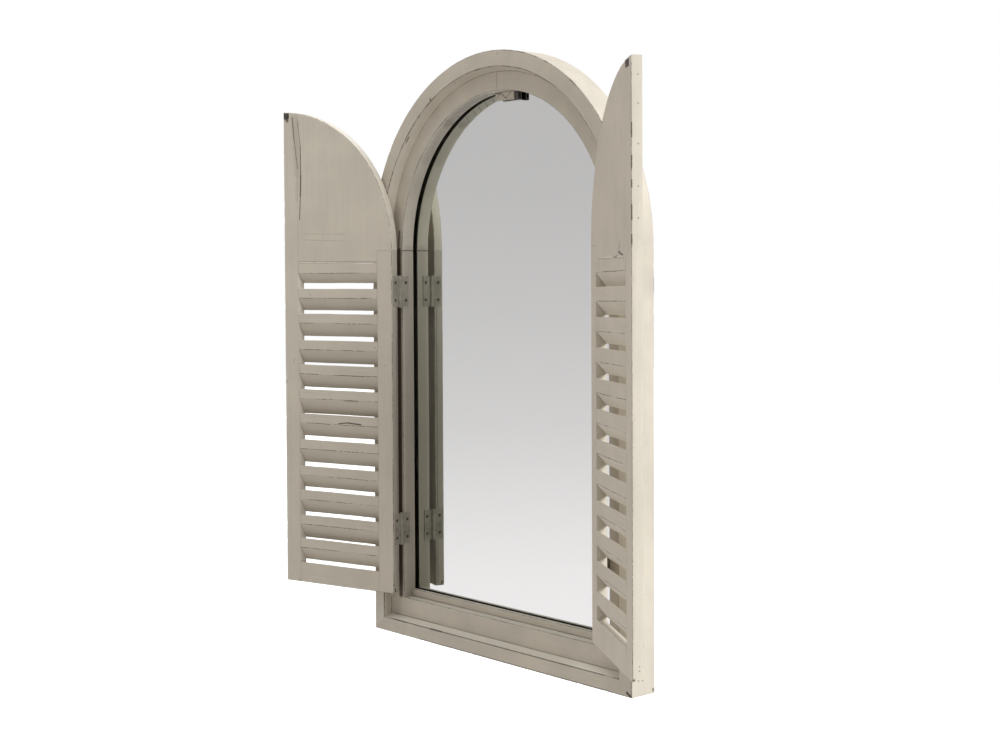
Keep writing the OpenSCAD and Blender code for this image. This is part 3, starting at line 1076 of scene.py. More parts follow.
@dataclass(frozen=True)
class Board:
    """A flat board cut to an outline, its arrises eased on both faces."""

    outline: Outline
    near: float
    far: float
    seed: float
    upright: bool = True
    waviness: float = 0.12 * MM
    chipping: float = 0.45 * MM
    slant: float = 0.0
    border: float = 0.6 * MM
    fine: float = 0.5 * MM

    def skin(self, side: Side = Side.RIGHT, front: float | None = None) -> Skin:
        """Builds the board's surface.

        Args:
            side: RIGHT as drawn, or LEFT for the mirror image.
            front: The depth that places are counted from, or None for the board's own near face.

        Returns:
            The surface.
        """
        made = Skin()
        zero = self.near if front is None else front
        spots, flip = self.outline.points, Vector((side.value, 1, 1))
        outs = self._outs()
        low, high = min(p.y for p in spots), max(p.y for p in spots)
        for ring in self._rings():
            for i, p in enumerate(spots):
                ease, meets = self.outline.easing[i], self.outline.joint[i]
                y = self._depth(ring.lift, ease)
                true = Vector((p.x, y, p.y)) * flip
                scale = 1.0 if ease > self.fine else 0.25
                waves, chips = self.waviness * scale, self.chipping * scale
                cut = 0.0 if ring.flat else rough_cut(true, ring.wear, self.seed + side.value, waves, chips)
                spot = p - outs[i] * (ring.inset * ease + (self.border if ring.flat else 0.0) + cut)
                spot.y -= self.slant * (self.far - y) / (self.far - self.near) * (p.y - low) / (high - low)
                if not ring.flat and 0 < ring.lift < MIDWAY:
                    y += cut * 0.5
                if not ring.flat and MIDWAY < ring.lift < FAR_FACE:
                    y -= cut * 0.5
                place = Vector((spot.x * side.value, y - zero, spot.y))
                grain = Vector((place.z, place.x, place.y)) if self.upright else place.copy()
                grooved = 1.0 if meets and not ring.flat and ring.wear < 0.9 else 0.0
                point = Vector((spot.x * side.value, y, spot.y + SIZES.spring))
                made.add(point, place, grain, ring.wear * (0.25 if meets else 1.0), grooved)
        made.wrap(len(spots))
        return made

    def _outs(self) -> list[Vector]:
        """Finds the way out of the outline at each of its points.

        Returns:
            A vector for each point, longer at a sharp corner.
        """
        spots = self.outline.points
        area = sum(p.x * q.y - q.x * p.y for p, q in zip(spots, spots[1:] + spots[:1]))
        sign = 1.0 if area > 0 else -1.0
        outs = []
        for i, p in enumerate(spots):
            e, f = (p - spots[i - 1]).normalized(), (spots[(i + 1) % len(spots)] - p).normalized()
            n = (Vector((e.y, -e.x)) + Vector((f.y, -f.x))) * sign
            outs.append(n / max(0.5, n.length_squared / 2))
        return outs

    def _depth(self, lift: float, ease: float) -> float:
        """Finds how deep a ring's point lies.

        Args:
            lift: The ring's lift.
            ease: The easing at the point.

        Returns:
            The depth, counted from the near face up to midway and from the far face beyond it.
        """
        if lift == MIDWAY:
            return (self.near + self.far) / 2
        return self.near + lift * ease if lift < MIDWAY else self.far - (FAR_FACE - lift) * ease

    @staticmethod
    def _rings() -> list[Ring]:
        """Lists the rings from the near face to the far one.

        Returns:
            The rings.
        """
        turns = [math.radians(k * 22.5) for k in range(5)]
        wears = (0.45, 0.85, 1.0, 0.85, 0.5)
        near = [Ring(1 - math.sin(t), 1 - math.cos(t), w) for t, w in zip(turns, wears)]
        far = [Ring(r.inset, FAR_FACE - r.lift, r.wear) for r in reversed(near)]
        return [Ring(1.0, 0.0, flat=True), *near, Ring(0.0, MIDWAY), *far, Ring(1.0, FAR_FACE, flat=True)]


# ---------- geometry nodes ----------


class Kit(Wires):
    """A Geometry Nodes tree with named inputs."""

    def __init__(self, name: str) -> None:
        """Starts a tree that takes a geometry and gives one.

        Args:
            name: The tree's name.
        """
        super().__init__(bpy.data.node_groups.new(name, "GeometryNodeTree"))
        for way in ("INPUT", "OUTPUT"):
            self.tree.interface.new_socket("Geometry", in_out=way, socket_type="NodeSocketGeometry")
        self.given = self.node("NodeGroupInput")

    def inputs(self, kind: str, *names: str) -> list[Socket]:
        """Adds named inputs of the tree and returns their sockets.

        Args:
            kind: Float, Int or Material.
            names: The inputs' names.

        Returns:
            The sockets that carry them.
        """
        for name in names:
            self.tree.interface.new_socket(name, in_out="INPUT", socket_type=f"NodeSocket{kind}")
        return [self.given.outputs[name] for name in names]

    def xyz(self, x: object, y: object, z: object = 0.0) -> Socket:
        """Makes a vector of three numbers."""
        return self.node("ShaderNodeCombineXYZ", {0: x, 1: y, 2: z}).outputs[0]

    def fall(self, value: Socket, low: object, high: object, top: float) -> Socket:
        """Lets a number fall from its top to zero while another goes from low to high."""
        given = {"Value": value, "From Min": low, "From Max": high, "To Min": top, "To Max": 0.0}
        return self.node("ShaderNodeMapRange", given).outputs[0]

    def named(self, name: str, kind: str = "FLOAT") -> Socket:
        """Reads an attribute of the points."""
        return self.node("GeometryNodeInputNamedAttribute", {"Name": name}, data_type=kind).outputs[0]

    def store(self, geometry: Socket, layer: Layer, value: Socket) -> Socket:
        """Keeps a value on the geometry's points as one of the paint's attributes.

        Args:
            geometry: The geometry.
            layer: The attribute.
            value: Its value at each point.

        Returns:
            The geometry with the attribute.
        """
        kind = "FLOAT_VECTOR" if layer in (Layer.PLACE, Layer.GRAIN) else "FLOAT"
        given = {"Geometry": geometry, "Name": layer.value, "Value": value}
        return self.node("GeometryNodeStoreNamedAttribute", given, data_type=kind, domain="POINT").outputs[0]

    def drawn(self, low: object, high: object, seed: Socket) -> Socket:
        """Draws three random angles for each point, and makes a turn of them.

        Args:
            low: The lowest angles.
            high: The highest angles.
            seed: The draw's seed.

        Returns:
            The turn.
        """
        made = self.node("FunctionNodeRandomValue", data_type="FLOAT_VECTOR")
        for socket, bound in zip([i for i in made.inputs if i.type == "VECTOR"], (low, high)):
            self.feed(socket, bound)
        self.feed(made.inputs["Seed"], seed)
        return self.node("FunctionNodeEulerToRotation", {0: made.outputs[0]}).outputs[0]

    def planted(self, shape: Socket, turn: Socket) -> Socket:
        """Puts a shape at each of the tree's points."""
        given = {"Points": self.given.outputs["Geometry"], "Instance": shape, "Rotation": turn}
        return self.node("GeometryNodeInstanceOnPoints", given).outputs[0]

    def finish(self, geometry: Socket, coat: Socket) -> Tree:
        """Ends the tree in Realize Instances and Set Material.

        Args:
            geometry: What the tree has made.
            coat: Its material.

        Returns:
            The tree.
        """
        real = self.node("GeometryNodeRealizeInstances", {"Geometry": geometry})
        coated = self.node("GeometryNodeSetMaterial", {"Geometry": real.outputs[0], "Material": coat})
        self.node("NodeGroupOutput", {0: coated.outputs[0]})
        return self.tree


def grown(
    name: str, seeds: Sequence[Vector], tree: Tree, values: dict[str, object],
    coat: Material, move: Matrix | None = None, **traits: Sequence[object],
) -> Object:
    """Grows a piece from points with a Geometry Nodes tree, and makes it a plain mesh.

    Args:
        name: The piece's name.
        seeds: The points that the tree starts from.
        tree: The tree.
        values: The values of its named inputs.
        coat: The material.
        move: Takes the result to where the piece is.
        traits: Attributes of the points, a number or a vector for each.

    Returns:
        The finished object.
    """
    start = bpy.data.meshes.new(f"{name}_points")
    start.from_pydata([tuple(p) for p in seeds], [], [])
    for key, column in traits.items():
        rows = np.array(column, np.float32)
        kind, field_name = ("FLOAT_VECTOR", "vector") if rows.ndim == 2 else ("FLOAT", "value")
        start.attributes.new(key, kind, "POINT").data.foreach_set(field_name, rows.ravel())
    holder = bpy.data.objects.new(f"{name}_holder", start)
    bpy.context.scene.collection.objects.link(holder)
    modifier = holder.modifiers.new("grow", "NODES")
    modifier.node_group = tree
    keys = {i.name: i.identifier for i in tree.interface.items_tree if i.in_out == "INPUT"}
    for key, value in {**values, "Coat": coat}.items():
        modifier[keys[key]] = value
    graph = bpy.context.evaluated_depsgraph_get()
    real = holder.evaluated_get(graph)
    mesh = bpy.data.meshes.new_from_object(real, preserve_all_data_layers=True, depsgraph=graph)
    holder.modifiers.remove(modifier)
    bpy.data.objects.remove(holder)
    mesh.name = name
    if move is not None:
        mesh.transform(move)
    return finished(mesh, name, coat)


def slat_tree() -> Tree:
    """Builds the tree that puts a louvre at each point, uneven as hand-planed slats are.

    Returns:
        The tree, with the slat's sizes and its unevenness as named inputs.
    """
    kit = Kit("louvre_slats")
    length, thick, edge, fall, ease, wave, tilt, lean = kit.inputs(
        "Float", "Length", "Thickness", "Edge", "Fall", "Ease", "Waviness", "Tilt", "Lean")
    (seed,), (coat,) = kit.inputs("Int", "Seed"), kit.inputs("Material", "Coat")
    worn_band, bow_scale, nick_scale, bow_lift, nick_depth = 2.4, (16.0, 10.0, 28.0), 120.0, 5.0, 9.0
    # the section, with eased corners, drawn along the slat
    back, deep = kit.times(thick, -1.0), kit.plus(edge, fall)
    corners = [kit.xyz(back, 0.0), kit.xyz(back, edge), kit.xyz(0.0, deep), kit.xyz(0.0, fall)]
    shape = kit.node("GeometryNodeCurvePrimitiveQuadrilateral", mode="POINTS")
    for socket, corner in zip([i for i in shape.inputs if i.name.startswith("Point")], corners):
        kit.feed(socket, corner)
    divided = kit.node("GeometryNodeSubdivideCurve", {"Curve": shape.outputs[0], "Cuts": SECTION_CUTS})
    rounding = {"Curve": divided.outputs[0], "Count": 4, "Radius": ease}
    eased = kit.node("GeometryNodeFilletCurve", rounding, mode="POLY")
    line = kit.node("GeometryNodeCurvePrimitiveLine", {"End": kit.xyz(length, 0.0)})
    stepped = {"Curve": line.outputs[0], "Length": SLAT_STEP}
    fine = kit.node("GeometryNodeResampleCurve", stepped, mode="LENGTH")
    level = kit.node("GeometryNodeSetCurveNormal", {"Curve": fine.outputs[0]}, mode="Z_UP")
    sweep = {"Curve": level.outputs[0], "Profile Curve": eased.outputs[0], "Fill Caps": True}
    slat = kit.node("GeometryNodeCurveToMesh", sweep).outputs[0]
    # how near each point is to an arris and to the stiles
    where = kit.node("GeometryNodeInputPosition").outputs[0]
    parts = kit.parts(where)
    here = kit.xyz(parts["Y"], parts["Z"])
    reach = kit.times(ease, worn_band)
    fade = kit.plus(reach, 0.6 * MM)
    worn: Socket | None = None
    for corner, rubbed in zip(corners, (0.6, 1.0, 0.6, 0.6)):
        gap = kit.vector("DISTANCE", here, kit.vector("MULTIPLY", corner, (-1.0, -1.0, 0.0)), "Value")
        near = kit.fall(gap, reach, fade, rubbed)
        worn = near if worn is None else kit.most(worn, near)
    known = kit.store(slat, Layer.WEAR, worn)
    ends = kit.math("MINIMUM", parts["X"], kit.minus(length, parts["X"]))
    known = kit.store(known, Layer.JOINT, kit.fall(ends, 0.0, 0.9 * MM, 1.0))
    # each slat leans, and stands a little askew
    aslant = kit.times(lean, kit.minus(0.5, kit.math("DIVIDE", parts["X"], length)))
    leaning = kit.node("GeometryNodeSetPosition", {"Geometry": known, "Offset": kit.xyz(0.0, 0.0, aslant)})
    turn = kit.drawn(kit.xyz(kit.times(tilt, -1.0), 0.0), kit.xyz(tilt, 0.0), seed)
    placed = kit.planted(leaning.outputs[0], turn)
    kept = kit.node("GeometryNodeRealizeInstances", {"Geometry": placed}).outputs[0]
    for layer in (Layer.PLACE, Layer.GRAIN):
        kept = kit.store(kept, layer, where)
    # long bows, and short dips at the arrises, always inwards
    drawn_out = kit.vector("MULTIPLY", where, bow_scale)
    bow, nick = (
        kit.node("ShaderNodeTexNoise", {"Vector": spot, "Scale": scale, "Detail": detail}).outputs["Fac"]
        for spot, scale, detail in ((drawn_out, 1.0, 1.0), (where, nick_scale, 3.0)))
    long_lift = kit.times(kit.minus(bow, 0.5), kit.times(wave, bow_lift))
    depth_here = kit.times(kit.named(Layer.WEAR.value), kit.times(wave, nick_depth))
    dip = kit.times(kit.most(kit.minus(nick, 0.52), 0.0), depth_here)
    inward = kit.scaled(kit.node("GeometryNodeInputNormal").outputs[0], kit.times(dip, -1.0))
    # a slat's outer edge hangs lower by its droop
    across = kit.math("DIVIDE", kit.parts(where)["Y"], thick)
    hang = kit.times(kit.named("droop"), kit.minus(1.0, across))
    moved = kit.vector("ADD", inward, kit.xyz(0.0, 0.0, kit.minus(long_lift, hang)))
    shaped = kit.node("GeometryNodeSetPosition", {"Geometry": kept, "Offset": moved})
    return kit.finish(shaped.outputs[0], coat)


def screw_tree() -> Tree:
    """Builds the tree that puts a countersunk cross-head screw at each point, along its facing.

    Returns:
        The tree, with the screw's sizes as named inputs.
    """
    kit = Kit("small_screws")
    head, deep, shank, length = kit.inputs("Float", "Head Radius", "Head Depth", "Shank Radius", "Length")
    slot_l, slot_w, slot_d = kit.inputs("Float", "Cross Length", "Cross Width", "Cross Depth")
    (seed,), (coat,) = kit.inputs("Int", "Seed"), kit.inputs("Material", "Coat")
    rounds = {"Vertices": 28, "Side Segments": 2, "Fill Segments": 2}
    widths = {"Radius Top": head, "Radius Bottom": shank}
    cone = kit.node("GeometryNodeMeshCone", {**rounds, **widths, "Depth": deep})
    sunk = {"Geometry": cone.outputs[0], "Translation": kit.xyz(0.0, 0.0, kit.times(deep, -1.0))}
    crossed = kit.node("GeometryNodeTransform", sunk).outputs[0]
    for wide, high in ((slot_l, slot_w), (slot_w, slot_l)):
        slot = kit.node("GeometryNodeMeshCube", {"Size": kit.xyz(wide, high, kit.times(slot_d, 2.0))})
        how = {"operation": "DIFFERENCE", "solver": "EXACT"}
        boolean = kit.node("GeometryNodeMeshBoolean", {"Mesh 1": crossed}, **how)
        kit.feed(boolean.inputs["Mesh 2"], slot.outputs[0])
        crossed = boolean.outputs[0]
    rest = kit.minus(length, deep)
    turned = {"Vertices": 20, "Radius": kit.times(shank, 0.98), "Depth": rest}
    rod = kit.node("GeometryNodeMeshCylinder", turned)
    middle = kit.xyz(0.0, 0.0, kit.minus(kit.times(rest, -0.5), deep))
    low = kit.node("GeometryNodeTransform", {"Geometry": rod.outputs[0], "Translation": middle})
    screw = kit.node("GeometryNodeJoinGeometry")
    for part in (crossed, low.outputs[0]):
        kit.feed(screw.inputs[0], part)
    facing = kit.named("facing", "FLOAT_VECTOR")
    aligned = kit.node("FunctionNodeAlignRotationToVector", {"Vector": facing}, axis="Z").outputs[0]
    spin = kit.drawn((0, 0, 0), (0, 0, math.pi / 2), seed)
    turned = kit.node("FunctionNodeRotateRotation", {0: aligned, 1: spin}, rotation_space="LOCAL").outputs[0]
    return kit.finish(kit.planted(screw.outputs[0], turned), coat)


# ---------- the pieces of the object ----------


def keep(piece: Object, body: str, nodes: Iterable[str]) -> Object:
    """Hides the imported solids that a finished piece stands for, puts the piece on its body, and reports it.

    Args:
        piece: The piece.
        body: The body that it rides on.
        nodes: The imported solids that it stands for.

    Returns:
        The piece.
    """
    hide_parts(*nodes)
    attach(piece, body)
    LOG.info("%s: %d faces, on %s", piece.name, len(piece.data.polygons), body)
    return piece


def dress(node: str, coat: Material) -> None:
    """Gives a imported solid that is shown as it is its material.

    Args:
        node: The solid's name.
        coat: The material.
    """
    target = frame["nodes"][node]
    target.data.materials.clear()
    target.data.materials.append(coat)
    LOG.info("%s: dressed with %s", node, coat.name)


def painted(skin: Skin, node: str, coat: Material, body: str = "root", move: Matrix | None = None) -> Object:
    """Makes the painted piece that stands for one solid.

    Args:
        skin: Its surface.
        node: The solid's name.
        coat: The paint.
        body: The body that it rides on.
        move: Takes the surface to where the piece is.

    Returns:
        The piece.
    """
    return keep(skin.piece(f"{node}_worn", coat, move), body, [node])


@dataclass(frozen=True)
class Surround:
    """Two jambs, two halves of an arch and a foot, mitred at the foot and jointed at the spring."""

    radius: float
    foot: float
    side: Section
    base: Section
    widths: Pair
    seeds: Triple
    joints: Pair
    mitres: Pair
    groove: float

    def jamb(self, t: float, a: float) -> Vector:
        """Down from the spring of the arch to the mitre."""
        return Vector((self.radius - a, 0, -t * (self.foot - a * self.widths[1] / self.widths[0])))

    def arch(self, t: float, a: float) -> Vector:
        """Up from the spring to the crown."""
        turn = t * math.pi / 2
        return Vector((math.cos(turn), 0, math.sin(turn))) * (self.radius - a)

    def rail(self, t: float, a: float) -> Vector:
        """Across, from mitre to mitre."""
        return Vector(((2 * t - 1) * (self.radius - a * self.widths[0] / self.widths[1]), 0, a - self.foot))

    def build(self, names: tuple[str, str, str], coat: Material, foot_coat: Material) -> None:
        """Builds the five members.

        Args:
            names: What the jambs, the halves of the arch and the foot are called.
            coat: The paint of the jambs and the arch.
            foot_coat: The paint of the foot.
        """
        jamb, arch, foot = names
        for side in Side:
            ends = (self.joints[0], self.mitres[side is Side.RIGHT])
            member = Member(self.side, self.jamb, self.foot, self.seeds[0], groove=self.groove, ends=ends)
            painted(member.skin(side), f"{side.label}_{jamb}", coat)
            run = self.radius * math.pi / 2
            member = Member(self.side, self.arch, run, self.seeds[1], groove=self.groove, ends=self.joints)
            painted(member.skin(side), f"{side.label}_{arch}", coat)
        run = 2 * self.radius
        member = Member(self.base, self.rail, run, self.seeds[2], groove=self.groove, ends=self.mitres)
        painted(member.skin(), foot, foot_coat)


@dataclass
class OuterFrame:
    """The deep rim: two jambs, two halves of the arch and the bottom rail."""

    coat: Material
    foot_coat: Material
    rim_face: float = 21 * MM
    foot_face: float = 19 * MM
    arris: float = 1.5 * MM
    joints: Pair = (0.6, 0.0)
    mitres: Pair = (0.0, 0.5)
    groove: float = 0.12 * MM

    def section(self, face: float, width: float) -> Section:
        """The members' section, across from the outer side.

        Args:
            face: Width of the flat front.
            width: Width over the slope behind it.

        Returns:
            The section.
        """
        r, s = self.arris, SIZES
        return Section(
            ((0, s.back), (0, s.front), (face, s.front), (width, s.step), (width, s.back)),
            (0.5 * MM, r, r, 0.3 * MM, 0.4 * MM),
        )

    def build(self) -> None:
        """Builds the five members."""
        rim_w, foot_w = SIZES.arch_r - SIZES.recess_r, SIZES.foot - SIZES.recess_foot
        side, base = self.section(self.rim_face, rim_w), self.section(self.foot_face, foot_w)
        surround = Surround(
            SIZES.arch_r, SIZES.foot, side, base, (rim_w, foot_w), (1.7, 4.1, 8.6),
            self.joints, self.mitres, self.groove,
        )
        surround.build(("jamb", "arch", "bottom_rail"), self.coat, self.foot_coat)


@dataclass
class InnerFrame:
    """The step behind the rim, which holds the mirror, with the stop strip and the crown block."""

    coat: Material
    ledge_w: float = 11.5 * MM
    arris: float = 0.9 * MM
    joints: Pair = (0.5, 1.0)
    mitres: Pair = (0.0, 0.5)
    groove: float = 0.10 * MM

    def section(self, face: float) -> Section:
        """The members' section, across from the outer side.

        Args:
            face: Width of the flat front.

        Returns:
            The section, with the ledge for the glass.
        """
        s, shoulder = SIZES, face - self.ledge_w
        return Section(
            ((s.glue, s.step), (face, s.step), (face, s.ledge), (shoulder, s.ledge),
             (shoulder, s.inner_back), (s.glue, s.inner_back)),
            (0.3 * MM, self.arris, 0.3 * MM, 0.2 * MM, 0.3 * MM, 0.3 * MM),
        )

    def build(self) -> None:
        """Builds the five members, the stop and the block."""
        face, sill = SIZES.recess_r - SIZES.mouth_r, SIZES.recess_foot - SIZES.mouth_foot
        surround = Surround(
            SIZES.recess_r, SIZES.recess_foot, self.section(face), self.section(sill),
            (face, sill), (12.3, 15.9, 18.4), self.joints, self.mitres, self.groove,
        )
        surround.build(("inner_jamb", "inner_arch", "inner_sill"), self.coat, self.coat)
        self.build_stop()
        self.build_crown_block()

    def build_stop(self) -> None:
        """Builds the strip that the shutters' feet close against."""
        lo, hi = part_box("sill_stop")
        low, high = lo.z - SIZES.spring, hi.z - SIZES.spring
        strip = Outline().start(lo.x, low).line(hi.x, low).line(hi.x, high).line(lo.x, high).line(lo.x, low)
        board = Board(strip.closed(), lo.y, hi.y, seed=21.5, upright=False)
        painted(board.skin(front=SIZES.front), "sill_stop", self.coat)

    def build_crown_block(self) -> None:
        """Builds the block under the crown."""
        lo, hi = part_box("crown_block")
        r = SIZES.mouth_r - SIZES.glue
        foot = lo.z - SIZES.spring
        turn = math.acos(lo.x / r)
        block = Outline().start(lo.x, foot).line(hi.x, foot).line(hi.x, r * math.sin(math.pi - turn))
        block.arc(r, math.pi - turn, turn).line(lo.x, foot)
        board = Board(block.closed(), lo.y, hi.y, seed=23.8, upright=False, chipping=0.6 * MM)
        painted(board.skin(front=SIZES.front), "crown_block", self.coat)


@dataclass
class Shutter:
    """One louvred shutter: its boards, its slats, its screws and its plate."""

    side: Side
    coat: Material
    stile_coat: Material
    metal: Material
    dark: Material
    screw: Material
    drifts: tuple[float, ...]
    drops: tuple[float, ...]
    arris: float = 0.9 * MM
    tight: float = 0.1 * MM
    corner: float = 3 * MM
    slat_edge: float = 14 * MM
    slat_ease: float = 0.32 * MM
    lean: float = 0.0
    panel_sag: float = 0.0
    wave: float = 0.22 * MM
    tilt: float = math.radians(0.3)
    swing: Swing = field(init=False)

    def __post_init__(self) -> None:
        """Measures the closed shutter."""
        self.swing = Swing.of(self.side)
        self.name = self.side.label
        self.body = f"{self.name}_shutter"
        self.free_lo, self.free_hi = self.swing.closed_box(f"{self.name}_free_stile")
        self.stile_lo, self.stile_hi = self.swing.closed_box(f"{self.name}_hinge_stile")
        self.near, self.far = self.free_lo.y, self.free_hi.y
        rail = self.swing.closed_points(f"{self.name}_shutter_rail")
        self.rail_z = rail[:, 2].max() - SIZES.spring
        self.bevel = rail[:, 2].max() - rail[rail[:, 1] < self.near + self.tight, 2].max()
        self.panel_z = self.swing.closed_box(f"{self.name}_top_panel")[0].z - SIZES.spring
        self.foot = SIZES.spring - self.free_lo.z
        self.radius = self.stile_hi.x
        self.inside = (self.free_hi.x + SIZES.glue, self.stile_lo.x - SIZES.glue)
        self.moved = self.swing.opened @ Matrix.Diagonal((self.side.value, 1, 1, 1))

    def build(self) -> None:
        """Builds the shutter's pieces."""
        self.build_stiles()
        self.build_panel()
        self.build_rail()
        self.build_slats()
        self.build_screws()

    def board(self, line: Outline, name: str, seed: float, upright: bool = True, slant: float = 0.0) -> None:
        """Makes a board of the shutter and keeps it.

        Args:
            line: Its outline, on the closed right-hand shutter.
            name: The solid that it stands for, without its side.
            seed: Sets it apart from the others.
            upright: Whether its grain runs up and down.
            slant: How much lower its top is at the outer face.
        """
        seed += 30 * self.side.value
        skin = Board(line.closed(), self.near, self.far, seed, upright, slant=slant).skin()
        coat = self.stile_coat if name.endswith("stile") else self.coat
        painted(skin, f"{self.name}_{name}", coat, self.body, self.moved)

    def build_stiles(self) -> None:
        """Builds the free stile, with its curved top, and the hinge stile, with its rounded corner."""
        r, foot, e, t = self.radius, self.foot, self.arris, self.tight
        low, top = self.panel_z, self.rail_z
        x0, x1 = self.free_lo.x, self.free_hi.x
        rise = [math.acos(x / r) for x in (x0, x1)]
        free = Outline().start(x0, -foot).line(x1, -foot, e).line(x1, top, t, True).line(x1, low, t)
        free.line(x1, r * math.sin(rise[1]), t, True)
        free.arc(r, rise[1], rise[0], ease=e).line(x0, -foot, e)
        self.board(free, "free_stile", 31.0)
        x0, x1, c = self.stile_lo.x, self.stile_hi.x, self.corner
        stile = Outline().start(x0, -foot).line(x1 - c, -foot, e)
        stile.arc(c, -math.pi / 2, 0, (x1 - c, c - foot), e).line(x1, 0, e).line(x0, 0, t, True)
        stile.line(x0, low, t, True).line(x0, top, t).line(x0, -foot, t, True)
        self.board(stile, "hinge_stile", 37.0)

    def build_panel(self) -> None:
        """Builds the arched top panel, which laps down beside the hinge stile."""
        r, g, t = self.radius, SIZES.glue, self.tight
        x0, x1 = self.inside
        low = self.panel_z - self.panel_sag
        panel = Outline().start(x0, low).line(x1, low, 0.5 * MM, True).line(x1, g, t, True)
        panel.line(math.sqrt(r * r - g * g), g, t, True)
        panel.arc(r, math.asin(g / r), math.acos(x0 / r), ease=self.arris).line(x0, low, t, True)
        self.board(panel, "top_panel", 43.0)

    def build_rail(self) -> None:
        """Builds the bottom rail."""
        (x0, x1), foot, t = self.inside, self.foot, self.tight
        rail = Outline().start(x0, -foot).line(x1, -foot, self.arris).line(x1, self.rail_z, t, True)
        rail.line(x0, self.rail_z, 0.4 * MM).line(x0, -foot, t, True)
        self.board(rail, "shutter_rail", 49.0, upright=False, slant=self.bevel)

    def build_slats(self) -> None:
        """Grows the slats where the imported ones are, each with its own drift and droop."""
        nodes = [n for n in frame["nodes"] if n.startswith(f"{self.name}_louvre_")]
        nodes.sort(key=lambda node: int(node.rsplit("_", 1)[1]))
        boxes = [self.swing.closed_box(n) for n in nodes]
        low, high = boxes[0]
        base = Vector((0, self.near, SIZES.spring))
        seeds = [Vector((lo.x, self.near, hi.z + z * MM)) - base for (lo, hi), z in zip(boxes, self.drifts)]
        values = {
            "Length": high.x - low.x, "Thickness": self.far - self.near, "Edge": self.slat_edge,
            "Fall": high.z - low.z - self.slat_edge, "Ease": self.slat_ease, "Waviness": self.wave,
            "Tilt": self.tilt, "Lean": self.lean, "Seed": 5 + self.side.value,
        }
        move, droop = self.moved @ Matrix.Translation(base), [drop * MM for drop in self.drops]
        made = grown(f"{self.name}_louvres", seeds, slat_tree(), values, self.coat, move, droop=droop)
        keep(made, self.body, nodes)

    def build_screws(self) -> None:
        """Grows the screws of the hinge leaves and of the strike plate."""
        hardware = Hardware()
        across, back = self.radius + hardware.leaf_t, SIZES.step + hardware.screw_back
        seeds = [Vector((across, back, z)) for z in hardware.screw_heights()]
        facing = [Vector((1, 0, 0))] * len(seeds)
        lo, hi = self.swing.closed_box(f"{self.name}_strike_plate")
        seeds.append(Vector(((lo.x + hi.x) / 2, hi.y, (lo.z + hi.z) / 2)))
        facing.append(Vector((0, 1, 0)))
        spots = [self.moved @ p for p in seeds]
        ways = [(self.moved.to_3x3() @ w).normalized() for w in facing]
        values, name = hardware.screw_values(7), f"{self.name}_shutter_screw"
        made = grown(f"{name}_set", spots, screw_tree(), values, self.screw, facing=ways)
        keep(made, self.body, [f"{name}s"])
        dress(f"{self.name}_strike_plate", self.dark)
        dress(f"{self.name}_shutter_hinge_leaves", self.metal)


